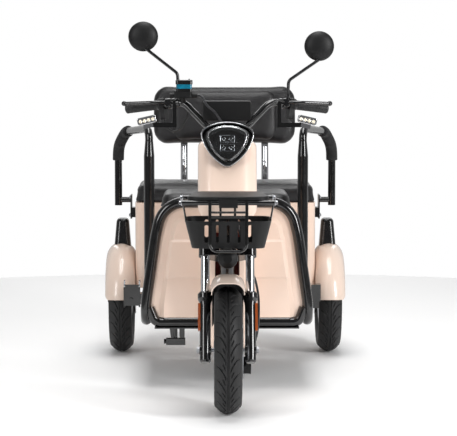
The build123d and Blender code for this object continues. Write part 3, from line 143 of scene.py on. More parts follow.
# ---------------------------------------------------------------- material tools
def add_node(tree, kind, values=None, links=None, **settings):
    """Add a node with its socket values, links and settings."""
    node = tree.nodes.new(kind)
    for setting, value in settings.items():
        setattr(node, setting, value)
    for socket, value in (values or {}).items():
        node.inputs[socket].default_value = value
    for socket, source in (links or {}).items():
        tree.links.new(source, node.inputs[socket])
    return node


def new_finish(name, base, roughness, **sockets):
    """A material with constant values on its shader's own sockets."""
    finish = bpy.data.materials.new(name)
    finish.use_nodes = True
    shader = finish.node_tree.nodes["Principled BSDF"]
    shader.inputs["Base Color"].default_value = base
    shader.inputs["Roughness"].default_value = roughness
    for socket, value in sockets.items():
        shader.inputs[socket.replace("_", " ")].default_value = value
    return finish


def place(tree, turn=(0, 0, 0)):
    """Object coordinates in metres, turned where a pattern lies aslant."""
    source = add_node(tree, "ShaderNodeTexCoord")
    mapping = add_node(
        tree, "ShaderNodeMapping", values={"Rotation": turn}, links={"Vector": source.outputs["Object"]}
    )
    return mapping.outputs["Vector"]


def mottle(finish, size, amount):
    """Vary the base colour a little over patches of the given size in metres."""
    tree = finish.node_tree
    shader = tree.nodes["Principled BSDF"]
    base = list(shader.inputs["Base Color"].default_value)
    patches = add_node(
        tree,
        "ShaderNodeTexNoise",
        values={"Scale": 1 / size, "Detail": 3.0, "Roughness": 0.6},
        links={"Vector": place(tree)},
    )
    ramp = add_node(tree, "ShaderNodeValToRGB", links={"Fac": patches.outputs["Fac"]})
    for element, factor in zip(ramp.color_ramp.elements, (1 - amount, 1 + amount)):
        element.color = [min(1, c * factor) for c in base[:3]] + [1]
    ramp.color_ramp.elements[0].position = 0.3
    ramp.color_ramp.elements[1].position = 0.7
    tree.links.new(ramp.outputs["Color"], shader.inputs["Base Color"])
    return finish


def uneven_gloss(finish, size, low, high):
    """Vary the roughness between two values over patches of the given size in metres."""
    tree = finish.node_tree
    patches = add_node(
        tree, "ShaderNodeTexNoise", values={"Scale": 1 / size, "Detail": 4.0}, links={"Vector": place(tree)}
    )
    spread = add_node(
        tree,
        "ShaderNodeMapRange",
        values={"From Min": 0.3, "From Max": 0.7, "To Min": low, "To Max": high},
        links={"Value": patches.outputs["Fac"]},
    )
    tree.links.new(spread.outputs["Result"], tree.nodes["Principled BSDF"].inputs["Roughness"])
    return finish


def emboss(finish, height, depth, strength=1.0):
    """Raise the surface by a height pattern, up to a depth in metres."""
    tree = finish.node_tree
    bump = add_node(tree, "ShaderNodeBump", values={"Distance": depth, "Strength": strength}, links={"Height": height})
    tree.links.new(bump.outputs["Normal"], tree.nodes["Principled BSDF"].inputs["Normal"])
    return finish


def noise_height(finish, size, detail=2.0):
    """A soft random height pattern of the given size in metres."""
    tree = finish.node_tree
    return add_node(
        tree, "ShaderNodeTexNoise", values={"Scale": 1 / size, "Detail": detail}, links={"Vector": place(tree)}
    ).outputs["Fac"]


# ---------------------------------------------------------------- finishes
def lacquered_abs(name, base):
    # ABS moulding or pressed steel under clear lacquer: smooth and glossy, with a faint ripple in reflections.
    finish = new_finish(name, base, 0.32, Coat_Weight=0.8, Coat_Roughness=0.06)
    mottle(finish, 0.25, 0.03)
    # Real orange peel is about 2 mm from crest to crest; it is drawn at 9 mm so that it shows.
    return emboss(finish, noise_height(finish, 0.009, 1.0), 0.00006)


def enamelled_steel(base):
    # Stove enamel on drawn steel tube: wet black gloss, very slightly wavy along the tube.
    finish = new_finish("enamelled steel tube", base, 0.16, Coat_Weight=0.6, Coat_Roughness=0.04)
    uneven_gloss(finish, 0.06, 0.12, 0.22)
    return emboss(finish, noise_height(finish, 0.02, 1.0), 0.00005)


def moulded_abs():
    # Unpainted black ABS from a spark-eroded mould: fine leathery grain and a dull sheen.
    finish = new_finish("grained black ABS", linear("#0a0a0b"), 0.5, Specular_IOR_Level=0.35)
    mottle(finish, 0.05, 0.12)
    # The grain is about 1 mm; it is drawn at 3 mm so that it shows.
    return emboss(finish, noise_height(finish, 0.003), 0.0003, 0.6)


def polished_abs():
    # Black ABS from a polished mould: gloss with hairline scuffs.
    finish = new_finish("polished black ABS", linear("#0c0c0e"), 0.2, Coat_Weight=0.4)
    return uneven_gloss(finish, 0.03, 0.14, 0.3)


def chrome_plate():
    # Decorative chrome on steel: mirror-bright with faint polishing swirls.
    finish = new_finish("chrome plate", linear("#d8d9dc"), 0.07, Metallic=1.0)
    return uneven_gloss(finish, 0.02, 0.04, 0.12)


def cast_aluminium():
    # Die-cast aluminium alloy, shot-blasted and lacquered: even satin with a light grain.
    finish = new_finish("cast aluminium", linear("#b4b6ba"), 0.38, Metallic=1.0)
    mottle(finish, 0.04, 0.05)
    return emboss(finish, noise_height(finish, 0.002), 0.0002, 0.4)


def turned_steel():
    # Turned and zinc-plated steel: pale grey with a brushed, slightly cloudy gloss.
    finish = new_finish("zinc-plated steel", linear("#a9abaf"), 0.3, Metallic=1.0)
    return uneven_gloss(finish, 0.015, 0.2, 0.45)


def tyre_rubber():
    # Vulcanised tread rubber: near-black, dull on the blocks, with dusty low spots.
    finish = new_finish("vulcanised tyre rubber", linear("#121213"), 0.58)
    mottle(finish, 0.03, 0.2)
    return emboss(finish, noise_height(finish, 0.004, 4.0), 0.0004, 0.5)


def moulded_rubber():
    # Moulded soft rubber: dull black with a slight bloom.
    finish = new_finish("moulded rubber", linear("#0f0f10"), 0.5, Sheen_Weight=0.08)
    mottle(finish, 0.02, 0.15)
    return emboss(finish, noise_height(finish, 0.003), 0.0003, 0.5)


def foam_rubber():
    # Closed-cell foam sleeve: soft dry black with tiny open pores.
    finish = new_finish("closed-cell foam rubber", linear("#0f0f11"), 0.8, Sheen_Weight=0.12)
    tree = finish.node_tree
    pores = add_node(tree, "ShaderNodeTexVoronoi", values={"Scale": 400.0}, links={"Vector": place(tree)})
    return emboss(finish, pores.outputs["Distance"], 0.0005, 0.6)


def artificial_leather(base, grain):
    # Polyurethane leather over foam: pebbled grain, a soft satin sheen, painted shade darkening the creases between
    # pebbles and a painted highlight lightening the pebbles' tops.
    finish = new_finish("polyurethane leather", base, 0.36, Sheen_Weight=0.08)
    tree = finish.node_tree
    shader = tree.nodes["Principled BSDF"]
    where = place(tree)
    warp = add_node(tree, "ShaderNodeTexNoise", values={"Scale": 0.4 / grain, "Detail": 2.0}, links={"Vector": where})
    bent = add_node(
        tree,
        "ShaderNodeMixRGB",
        values={"Fac": 0.003},
        links={"Color1": where, "Color2": warp.outputs["Color"]},
        blend_type="ADD",
    )
    pebbles = add_node(
        tree,
        "ShaderNodeTexVoronoi",
        values={"Scale": 1 / grain},
        links={"Vector": bent.outputs["Color"]},
        feature="DISTANCE_TO_EDGE",
    )
    domed = add_node(
        tree,
        "ShaderNodeMapRange",
        values={"From Min": 0.0, "From Max": 0.35},
        links={"Value": pebbles.outputs["Distance"]},
        interpolation_type="SMOOTHSTEP",
    )
    # Painted shade and highlight: the base colour is darker in the creases and lighter on the pebbles' tops.
    crease_shade_and_highlight = add_node(tree, "ShaderNodeValToRGB", links={"Fac": domed.outputs["Result"]})
    crease_shade_and_highlight.color_ramp.elements[0].color = [c * 0.55 for c in base[:3]] + [1]
    crease_shade_and_highlight.color_ramp.elements[1].color = [c * 1.15 for c in base[:3]] + [1]
    tree.links.new(crease_shade_and_highlight.outputs["Color"], shader.inputs["Base Color"])
    return emboss(finish, domed.outputs["Result"], 0.0004, 0.7)


def clear_polycarbonate():
    # Injection-moulded polycarbonate lens: water-clear with sharp reflections.
    return new_finish("clear polycarbonate", linear("#f6f9fb"), 0.02, Transmission_Weight=1.0, IOR=1.58)


def tinted_bottle(base):
    # Tinted translucent bottle filled with fluid: saturated, glossy, and lit through.
    finish = new_finish("tinted polypropylene", base, 0.12, Transmission_Weight=0.35, IOR=1.49)
    return mottle(finish, 0.02, 0.25)


def warm_diode():
    # Phosphor-coated light diode, unlit: warm yellow-white dot under a clear dome, given a faint painted glow though it
    # is not lit.
    painted_glow = linear("#fff3dc")
    return new_finish("phosphor diode with painted glow", linear("#fff0cf"), 0.3, Emission_Color=painted_glow, Emission_Strength=0.6)


def prismatic(name, hex_colour):
    # Moulded acrylic reflex reflector: deep colour with a grid of small prisms that glints.
    finish = new_finish(name, linear(hex_colour), 0.15, Coat_Weight=1.0, Specular_IOR_Level=0.8)
    tree = finish.node_tree
    cells = add_node(
        tree, "ShaderNodeTexVoronoi", values={"Scale": 250.0}, links={"Vector": place(tree)}, distance="MANHATTAN"
    )
    return emboss(finish, cells.outputs["Distance"], 0.001, 0.8)


def red_primer():
    # Oxide-red enamel on pressed steel, deep in the cowl: dull and slightly blotched.
    return mottle(new_finish("oxide-red enamel", linear("#6b150e"), 0.4), 0.03, 0.2)


def braided_hose():
    # Steel-braid hose under a clear sleeve: dark with bright crossing strands.
    finish = new_finish("braided hose", linear("#1a1a1c"), 0.35)
    tree = finish.node_tree
    strands = add_node(
        tree,
        "ShaderNodeTexChecker",
        values={"Scale": 300.0, "Color1": linear("#0c0c0d"), "Color2": linear("#3a3a3e")},
        links={"Vector": place(tree, turn=(0.6, 0.5, 0.7))},
    )
    tree.links.new(strands.outputs["Color"], tree.nodes["Principled BSDF"].inputs["Base Color"])
    return emboss(finish, strands.outputs["Fac"], 0.0005)


def ribbed_mat():
    # Moulded rubber floor mat: black with fine lengthwise ribs.
    finish = new_finish("ribbed rubber mat", linear("#18181a"), 0.6)
    tree = finish.node_tree
    ribs = add_node(
        tree, "ShaderNodeTexWave", values={"Scale": 40.0}, links={"Vector": place(tree)}, bands_direction="X"
    )
    return emboss(finish, ribs.outputs["Fac"], 0.0012)


def silvered_glass():
    # Silvered float glass: a clean mirror, very slightly blue.
    return new_finish("silvered glass", linear("#dfe6ea"), 0.01, Metallic=1.0)


FINISHES = {}


def finish_for(key):
    """The finish with this key, made once."""
    colours = bpy.context.scene.tricycle_colours
    sizes = bpy.context.scene.tricycle_sizes
    makers = {
        "panel": lambda: lacquered_abs("lacquered ABS", tuple(colours.panel)),
        "fender": lambda: lacquered_abs("enamelled steel fender", tuple(colours.fender)),
        "tube": lambda: enamelled_steel(tuple(colours.tube)),
        "grained": moulded_abs,
        "polished": polished_abs,
        "chrome": chrome_plate,
        "cast": cast_aluminium,
        "steel": turned_steel,
        "tyre": tyre_rubber,
        "rubber": moulded_rubber,
        "foam": foam_rubber,
        "leather": lambda: artificial_leather(tuple(colours.leather), sizes.leather_grain),
        "lens": clear_polycarbonate,
        "bottle": lambda: tinted_bottle(tuple(colours.fluid)),
        "diode": warm_diode,
        "amber": lambda: prismatic("amber reflex reflector", "#b4531c"),
        "red": red_primer,
        "hose": braided_hose,
        "mat": ribbed_mat,
        "mirror": silvered_glass,
    }
    if key not in FINISHES:
        FINISHES[key] = makers[key]()
    return FINISHES[key]


NODE_FINISHES = {
    "panel": ["leg_shield", "lower_cowl", "nose_column", "seat_bucket", "rear_box"],
    "fender": ["rear_fenders", "front_fender"],
    "tube": [
        "guard_hoop", "side_rails", "cross_members", "down_tube", "basket_rack", "armrest_left", "armrest_right",
        "rear_axle", "rear_springs", "brake_pedal", "rear_bumper", "plate_bracket", "fork_crown", "fork_legs",
        "handlebar", "spotlight_brackets", "side_brackets",
    ],
    "grained": [
        "front_basket", "front_tray", "horn", "brake_caliper", "headlight_bezel", "instrument_box", "switch_pods",
        "master_cylinder", "battery_pack",
    ],
    "polished": ["fender_lamps", "headlight_housing", "headlight_module", "mirrors", "brake_levers"],
    "chrome": ["backrest_posts", "fork_stanchions", "spotlights", "headlight_rim"],
    "cast": ["front_rim", "rear_rim_left", "rear_rim_right"],
    "steel": ["front_axle", "brake_disc"],
    "tyre": ["front_tyre", "rear_tyre_left", "rear_tyre_right"],
    "rubber": ["grips", "control_cables"],
    "foam": ["armrest_grips"],
    "leather": ["driver_seat", "passenger_seat", "backrest"],
    "lens": ["headlight_lens"],
    "bottle": ["fluid_reservoir"],
    "hose": ["brake_hose"],
    "mat": ["floor_pan"],
}


# ---------------------------------------------------------------- modelling tools
def aimed(position, direction, up="Y"):
    """A matrix that puts a shape at a position in metres, with its Z along the direction."""
    return Matrix.Translation(position) @ Vector(direction).to_track_quat("Z", up).to_matrix().to_4x4()


def leaning(angle):
    """A turn for a shape drawn flat: its Y then points up a face that leans back, and its Z out of that face."""
    upwards, outwards = math.cos(angle), math.sin(angle)
    return Matrix(((1, 0, 0), (0, outwards, -upwards), (0, upwards, outwards))).to_4x4()


def round_edges(bm, edges, radius, segments):
    """Round some edges of a bmesh."""
    bmesh.ops.bevel(
        bm, geom=edges, offset=radius, offset_type="OFFSET", segments=segments, profile=0.5, affect="EDGES",
        material=-1,
    )


def make_piece(bm, name, finish, body, creases=35):
    """Turn a bmesh into a named piece that rides on a body."""
    bmesh.ops.remove_doubles(bm, verts=bm.verts, dist=1e-6)
    bmesh.ops.recalc_face_normals(bm, faces=bm.faces)
    mesh = bpy.data.meshes.new(name)
    bm.to_mesh(mesh)
    bm.free()
    mesh.shade_smooth()
    mesh.set_sharp_from_angle(angle=math.radians(creases))
    mesh.materials.append(finish_for(finish))
    piece = bpy.data.objects.new(name, mesh)
    bpy.context.scene.collection.objects.link(piece)
    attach(piece, body)
    return piece


def ringed_tube(bm, stations, sides=24):
    """Skin circles along a path; each station is a centre and a radius, in metres."""
    centres = [Vector(centre) for centre, _ in stations]
    loops = []
    for number, (centre, radius) in enumerate(stations):
        before = centres[max(0, number - 1)]
        after = centres[min(len(centres) - 1, number + 1)]
        circle = bmesh.ops.create_circle(bm, segments=sides, radius=radius, matrix=aimed(centre, after - before))
        loops.append(circle["verts"])
    for lower, upper in zip(loops, loops[1:]):
        edges = []
        for ring in (lower, upper):
            touching = {edge for vert in ring for edge in vert.link_edges}
            edges += [edge for edge in touching if all(vert in ring for vert in edge.verts)]
        bmesh.ops.bridge_loops(bm, edges=list(dict.fromkeys(edges)))
    for ring in (loops[0], loops[-1]):
        bmesh.ops.contextual_create(bm, geom=ring)


def smooth_route(points, count):
    """Evenly placed points, in metres, along a smooth line through a bent route in millimetres."""
    curve = bpy.data.curves.new("route", "CURVE")
    curve.dimensions = "3D"
    spline = curve.splines.new("NURBS")
    spline.points.add(len(points) - 1)
    for control, point in zip(spline.points, points):
        control.co = (*metres(point), 1)
    spline.order_u = 3
    spline.use_endpoint_u = True
    curve.resolution_u = 32
    carrier = bpy.data.objects.new("route", curve)
    line = [vert.co.copy() for vert in bpy.data.meshes.new_from_object(carrier).vertices]
    bpy.data.objects.remove(carrier)
    bpy.data.curves.remove(curve)
    lengths = [0.0]
    for a, b in zip(line, line[1:]):
        lengths.append(lengths[-1] + (b - a).length)
    spots = []
    for number in range(count):
        wanted = lengths[-1] * number / (count - 1)
        after = next((k for k, length in enumerate(lengths) if length >= wanted and k), len(lengths) - 1)
        part = (wanted - lengths[after - 1]) / max(1e-9, lengths[after] - lengths[after - 1])
        spots.append(line[after - 1].lerp(line[after], min(1, part)))
    return spots, lengths[-1]


def add_bolt(bm, position, direction, radius=0.006, height=0.005, washer=True):
    """A domed hexagon bolt head on its washer, standing on a surface."""
    out = Vector(direction).normalized()
    if washer:
        bmesh.ops.create_cone(
            bm, cap_ends=True, segments=20, radius1=radius * 1.5, radius2=radius * 1.4, depth=height * 0.5,
            matrix=aimed(position, out),
        )
    bmesh.ops.create_cone(
        bm, cap_ends=True, segments=6, radius1=radius, radius2=radius, depth=height,
        matrix=aimed(position + out * height * 0.7, out),
    )
    bmesh.ops.create_uvsphere(
        bm, u_segments=12, v_segments=6, radius=radius * 0.86,
        matrix=aimed(position + out * height * 1.1, out) @ Matrix.Diagonal((1, 1, 0.45, 1)),
    )


# ---------------------------------------------------------------- operators
FLOOR_RADIUS = 3.4
CAMERA_PLACE = (-0.0548, -7.4545, 1.205)
CAMERA_DROP = 4.78  # degrees below level
CAMERA_TURN = -0.487  # degrees off the direction of travel


class TRICYCLE_OT_stage(Operator):
    """Set the floor, the lights and the camera"""

    bl_idname = "tricycle.stage"
    bl_label = "Stage"

    def execute(self, context):
        scene = context.scene
        settings = scene.tricycle_stage
        scene.view_settings.view_transform = "Standard"
        world = bpy.data.worlds.new("studio")
        scene.world = world
        world.use_nodes = True
        # A white studio: its light is brightest behind the tricycle and dim in front, so that black parts stay black.
        tree = world.node_tree
        background = tree.nodes["Background"]
        background.inputs["Color"].default_value = (1, 1, 1, 1)
        direction = add_node(tree, "ShaderNodeTexCoord")
        split = add_node(tree, "ShaderNodeSeparateXYZ", links={"Vector": direction.outputs["Generated"]})
        fade = add_node(
            tree,
            "ShaderNodeMapRange",
            values={"From Min": -0.5, "From Max": 0.7, "To Min": 0.16, "To Max": 0.5},
            links={"Value": split.outputs["Y"]},
            interpolation_type="SMOOTHSTEP",
        )
        seen = add_node(tree, "ShaderNodeLightPath")
        strength = add_node(
            tree,
            "ShaderNodeMath",
            links={0: fade.outputs["Result"], 1: seen.outputs["Is Camera Ray"]},
            operation="MAXIMUM",
        )
        tree.links.new(strength.outputs["Value"], background.inputs["Strength"])

        bm = bmesh.new()
        bmesh.ops.create_circle(bm, cap_ends=True, segments=96, radius=FLOOR_RADIUS)
        mesh = bpy.data.meshes.new("floor")
        bm.to_mesh(mesh)
        bm.free()
        mesh.materials.append(new_finish("painted floor", linear("#ffffff"), 0.7))
        floor = bpy.data.objects.new("floor", mesh)
        scene.collection.objects.link(floor)

        for name, power, size, position, target in (
            ("key", settings.key_power, (1.2, 2.6), (-3.0, -3.6, 2.4), (0, 0, 0.6)),
            ("fill", settings.fill_power, (0.9, 2.4), (3.2, -3.0, 2.0), (0, 0, 0.6)),
            ("top", settings.top_power, (1.6, 3.0), (0, -0.5, 4.2), (0, 0, 0.5)),
            ("back", settings.back_power, (4.0, 2.0), (0, 4.5, 3.0), (0, 0, 0.8)),
        ):
            light = bpy.data.lights.new(name, "AREA")
            light.shape = "RECTANGLE"
            light.size, light.size_y = size
            light.energy = power
            lamp = bpy.data.objects.new(name, light)
            lamp.location = position
            lamp.rotation_euler = (Vector(target) - Vector(position)).to_track_quat("-Z", "Y").to_euler()
            scene.collection.objects.link(lamp)

        lens = bpy.data.cameras.new("camera")
        lens.lens = settings.lens
        lens.sensor_width = 36
        camera = bpy.data.objects.new("camera", lens)
        camera.location = CAMERA_PLACE
        camera.rotation_euler = (math.radians(90 - CAMERA_DROP), 0, math.radians(CAMERA_TURN))
        scene.collection.objects.link(camera)
        scene.camera = camera
        return {"FINISHED"}


class TRICYCLE_OT_finishes(Operator):
    """Give every modelled piece its finish"""

    bl_idname = "tricycle.finishes"
    bl_label = "Finishes"

    def execute(self, context):
        for key, names in NODE_FINISHES.items():
            for name in names:
                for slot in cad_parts[name].material_slots:
                    slot.material = finish_for(key)
        return {"FINISHED"}


TREAD_HALF = 38  # from the middle of the tread to its shoulder, in millimetres
MIDDLE_GROOVE = 2.6  # half the width of the groove round the middle, in millimetres
TREAD_EDGE = 0.186  # inside this radius, in metres, a tyre's side is smooth
STEPS_A_BLOCK = 24  # slices of the tyre in one tread block
# Slanting grooves: start and end as parts of TREAD_HALF, place in the block, and half width in millimetres.
SLANTING_GROOVES = ((0.2, 0.96, 0.0, 2.1), (0.26, 0.48, 0.5, 1.7))


class TRICYCLE_OT_tyres(Operator):
    """Model the tyres with their tread"""

    bl_idname = "tricycle.tyres"
    bl_label = "Tyres"

    def execute(self, context):
        for name, body, centre in (
            ("front_tyre", "front_wheel", FRONT_AXLE),
            ("rear_tyre_left", "rear_wheel_left", REAR_AXLE + Vector((WHEEL_X, 0, 0))),
            ("rear_tyre_right", "rear_wheel_right", REAR_AXLE - Vector((WHEEL_X, 0, 0))),
        ):
            piece = self.model(context.scene.tricycle_sizes, f"{name}_tread", centre, body)
            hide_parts(name)
        return {"FINISHED"}

    def outline(self):
        """Half of the tyre's section, from the bead to the middle of the tread: x and radius in millimetres."""
        side = [(30, 127.2), (30, 137), (33.5, 141), (34.6, 141.6), (36.6, 145), (39.5, 150), (42.3, 156), (44.3, 162)]
        side += [(45.6, 168), (45.9, 173), (45.6, 178), (44.2, 183), (41.5, 187.6)]
        crown = []
        for step in range(30):
            lean = math.radians(55.5 - step * 1.76)
            crown.append((46.1 * math.sin(lean), 163.9 + 46.1 * math.cos(lean)))
        return side + crown + [(2.2, 209.9)]

    def groove(self, turn, x, pitch):
        """How deep the tread is cut, from 0 to 1, at a turn counted in blocks and a distance from the middle."""
        if x < MIDDLE_GROOVE:
            return 1.0
        across = x / TREAD_HALF
        sweep = 1.2 * (1 - across) ** 2
        steepness = math.hypot(1, 2.4 * (1 - across) * pitch / TREAD_HALF)
        depth = 0.0
        for start, end, offset, half_width in SLANTING_GROOVES:
            if start < across < end:
                away = abs((turn - sweep + offset + 0.5) % 1 - 0.5) * pitch / steepness
                depth = max(depth, 1 - (away / half_width) ** 3)
        return depth

    def model(self, sizes, name, centre, body):
        """Spin the section round the axle and press the grooves into it."""
        half = self.outline()
        section = half + [(-x, radius) for x, radius in reversed(half)]
        blocks = sizes.tread_blocks
        bm = bmesh.new()
        verts = [bm.verts.new(metres(centre + Vector((x, 0, radius)))) for x, radius in section]
        edges = [bm.edges.new(pair) for pair in zip(verts, verts[1:] + verts[:1])]
        bmesh.ops.spin(
            bm, geom=verts + edges, cent=metres(centre), axis=(1, 0, 0), dvec=(0, 0, 0), angle=math.tau,
            steps=blocks * STEPS_A_BLOCK, use_merge=True, use_normal_flip=False, use_duplicate=False,
        )
        middle = metres(centre)
        for vert in bm.verts:
            outwards = vert.co - middle
            x = outwards.x * 1000
            outwards.x = 0
            if outwards.length < TREAD_EDGE:
                continue
            turn = math.atan2(outwards.z, outwards.y) / math.tau * blocks + (0.5 if x > 0 else 0)
            depth = self.groove(turn, abs(x), math.tau * outwards.length * 1000 / blocks)
            vert.co -= outwards.normalized() * depth * sizes.tread_depth
        return make_piece(bm, name, "tyre", body, creases=28)


VOXEL = 0.007  # the even grid that a cover swells on, in metres
PRESSURE = 4
SETTLING_FRAMES = 20
SEAM_BELOW_TOP = 0.03
SEAM_WIDTH = 0.0035
SEAM_DEPTH = 0.0022
SITTING_DIP = 0.003
BACKREST_TALL = 0.2665
BACKREST_LEAN = math.radians(8)


class TRICYCLE_OT_cushions(Operator):
    """Model the driver's cushion, the bench cushion and the backrest"""

    bl_idname = "tricycle.cushions"
    bl_label = "Cushions"

    def execute(self, context):
        swell = context.scene.tricycle_sizes.swell
        self.cushion("driver_cushion", "driver_seat", "driver_seat", swell, 0.045, 0.02, 0.0)
        self.cushion("bench_cushion", "passenger_seat", "passenger_seat", swell, 0.05, 0.024, 0.008)
        self.back(swell)
        return {"FINISHED"}

    def block(self, size, corner, edge):
        """A block with rounded corners and a rounded upper rim, centred on the origin."""
        bm = bmesh.new()
        bmesh.ops.create_cube(bm, size=1.0)
        bmesh.ops.scale(bm, vec=size, verts=bm.verts)
        upright = [e for e in bm.edges if abs((e.verts[0].co - e.verts[1].co).z) > size.z / 2]
        round_edges(bm, upright, corner, 8)
        top = max(vert.co.z for vert in bm.verts)
        rim = [e for e in bm.edges if all(v.co.z > top - 1e-6 for v in e.verts)]
        round_edges(bm, rim, edge, 4)
        return bm

    def swollen(self, bm, name, swell, held):
        """Remesh the block and let its cover swell; held says how firmly a point is kept, from 0 to 1."""
        mesh = bpy.data.meshes.new(name)
        bm.to_mesh(mesh)
        bm.free()
        block = bpy.data.objects.new(name, mesh)
        bpy.context.scene.collection.objects.link(block)
        remesh = block.modifiers.new("even grid", "REMESH")
        remesh.mode = "VOXEL"
        remesh.voxel_size = VOXEL
        block.data = self.baked(block)
        rest = [vert.co.copy() for vert in block.data.vertices]
        cloth = block.modifiers.new("cover", "CLOTH")
        cloth.settings.use_pressure = True
        cloth.settings.uniform_pressure_force = PRESSURE
        cloth.settings.effector_weights.gravity = 0
        for number in range(1, SETTLING_FRAMES + 1):
            bpy.context.scene.frame_set(number)
        blown = self.baked(block)
        for vert, start in zip(blown.vertices, rest):
            move = vert.co - start
            move.length = min(move.length, swell) * (1 - held(start))
            vert.co = start + move
        block.data = blown
        bpy.context.scene.frame_set(1)
        smoother = bmesh.new()
        smoother.from_mesh(block.data)
        for _ in range(4):
            bmesh.ops.smooth_vert(
                smoother, verts=smoother.verts, factor=0.5, use_axis_x=True, use_axis_y=True, use_axis_z=True
            )
        bpy.data.objects.remove(block)
        return smoother

    def baked(self, block):
        """The block's mesh with its modifiers applied."""
        seen = block.evaluated_get(bpy.context.evaluated_depsgraph_get())
        mesh = bpy.data.meshes.new_from_object(seen)
        block.modifiers.clear()
        return mesh

    def cushion(self, name, node, body, swell, corner, edge, crown):
        """A seat cushion that rests flat on its base, with a seam round it; crown is how far its top stands up."""
        low, high = (Vector(c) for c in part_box(node))
        size = high - low
        inner = size - Vector((swell, swell, swell)) * 1.6
        inner.z = size.z - swell + crown
        bm = self.swollen(
            self.block(inner, corner, edge), name, swell, lambda point: 1.0 if point.z < -inner.z / 2 + 0.012 else 0.0
        )
        seam = inner.z / 2 - SEAM_BELOW_TOP
        for vert in bm.verts:
            sunk = math.exp(-(((vert.co.z - seam) / SEAM_WIDTH) ** 2))
            if abs(vert.normal.z) < 0.6:
                vert.co -= vert.normal * SEAM_DEPTH * sunk
            # The top dips a little where people sit.
            if vert.normal.z > 0.5:
                vert.co.z -= SITTING_DIP * max(0.0, 1 - (abs(vert.co.x / inner.x) * 2.2) ** 4)
        bmesh.ops.translate(bm, vec=(low + high) / 2 + Vector((0, 0, (inner.z - size.z) / 2 + 0.0005)), verts=bm.verts)
        piece = make_piece(bm, name, "leather", body, creases=80)
        self.finish(piece, node)

    def back(self, swell):
        """The backrest's cover, and the raised pad on its front."""
        low, high = (Vector(c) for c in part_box("backrest"))
        cover_size = Vector((high.x - low.x - 2 * swell, BACKREST_TALL - 2 * swell, 0.042))
        pad_size = Vector((0.446, 0.212, 0.026))
        cover = self.swollen(self.block(cover_size, 0.066, 0.016), "back", swell, lambda point: 0.0)
        pad = self.swollen(self.block(pad_size, 0.05, 0.012), "pad", swell * 0.8, lambda point: 0.0)
        bmesh.ops.translate(pad, vec=(0, -0.004, 0.022), verts=pad.verts)
        middle = (low + high) / 2 + Vector((0, 0.006, 0.002))
        upright = Matrix.Translation(middle) @ leaning(BACKREST_LEAN)
        for bm, name in ((cover, "backrest_cover"), (pad, "backrest_pad")):
            bmesh.ops.transform(bm, matrix=upright, verts=bm.verts)
            piece = make_piece(bm, name, "leather", "chassis", creases=80)
            self.finish(piece, "backrest")

    def finish(self, piece, node):
        """Smooth a cushion and let it stand for its node."""
        smooth = piece.modifiers.new("round", "SUBSURF")
        smooth.levels = smooth.render_levels = 1
        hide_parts(node)


FOAM_RADIUS = 0.0222
FOAM_RIB = 0.0022
FOAM_END_RADIUS = 0.0195
FOAM_RIBBED_PART = 0.62  # the part of a sleeve's length that is ribbed, from its upper end
GRIP_LENGTH = 129
GRIP_RADIUS = 17.0
GRIP_RIB = 0.9
GRIP_RIB_PITCH = 6.4


class TRICYCLE_OT_grips(Operator):
    """Model the ribbed grips and the armrests' foam sleeves"""

    bl_idname = "tricycle.grips"
    bl_label = "Grips"

    def execute(self, context):
        pitch = context.scene.tricycle_sizes.foam_pitch
        sleeves = bmesh.new()
        for side in (1, -1):
            route = [
                from_axle(side * 374.5, 1209.4, 882.9), from_axle(side * 385, 1249, 878.5),
                from_axle(side * 399, 1290, 855.6), from_axle(side * 410, 1321.7, 836.3),
                from_axle(side * 417.3, 1342.4, 814.3), from_axle(side * 420, 1350, 784.4),
                from_axle(side * 420, 1350, 763),
            ]
            spots, route_length = smooth_route(route, 100)
            stations = []
            for number, spot in enumerate(spots):
                along = route_length * number / (len(spots) - 1)
                rib = 0.5 + 0.5 * math.cos(math.tau * along / pitch)
                ribbed = min(1, max(0, (route_length * FOAM_RIBBED_PART - along) / 0.01))
                radius = FOAM_RADIUS - FOAM_RIB * rib * ribbed
                if number in (0, len(spots) - 1):
                    radius = FOAM_END_RADIUS
                stations.append((spot, radius))
            ringed_tube(sleeves, stations, 28)
        piece = make_piece(sleeves, "foam_sleeves", "foam", "chassis", creases=60)
        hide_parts("armrest_grips")

        grips = bmesh.new()
        for side in (1, -1):
            end = from_axle(side * 345, 462, 992)
            inwards = (from_axle(side * 150, 392, 1018) - end).normalized()
            stations = []
            for number in range(90):
                along = -6 + GRIP_LENGTH * number / 89
                rib = 0.5 + 0.5 * math.cos(math.tau * along / GRIP_RIB_PITCH)
                radius = GRIP_RADIUS - GRIP_RIB * rib
                if along < -3:  # the rounded outer end
                    radius = 14.5 + (along + 6) * 0.8
                elif along < 4:
                    radius = GRIP_RADIUS
                elif along > 118:  # the inner flange
                    radius = 21.5
                elif along > 112:  # the flare before it
                    radius = 17.2 + (along - 112) * 0.6
                stations.append((metres(end + inwards * along), radius * 0.001))
            ringed_tube(grips, stations, 32)
        piece = make_piece(grips, "ribbed_grips", "rubber", "steering", creases=60)
        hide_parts("grips")
        return {"FINISHED"}


# The headlight's middle as x, distance behind the front axle and height, and how far it leans back.
HEADLIGHT_MIDDLE = (0, 196, 880)
HEADLIGHT_LEAN = math.radians(18)
PROJECTOR_ROWS = (22, -9)
# A spotlight's middle, the step from diode to diode, and how far it is turned down at its outer end.
SPOTLIGHT_X = 0.277
SPOTLIGHT_Z = 0.955
DIODE_STEP = 0.0145
SPOTLIGHT_TURN = math.radians(13)


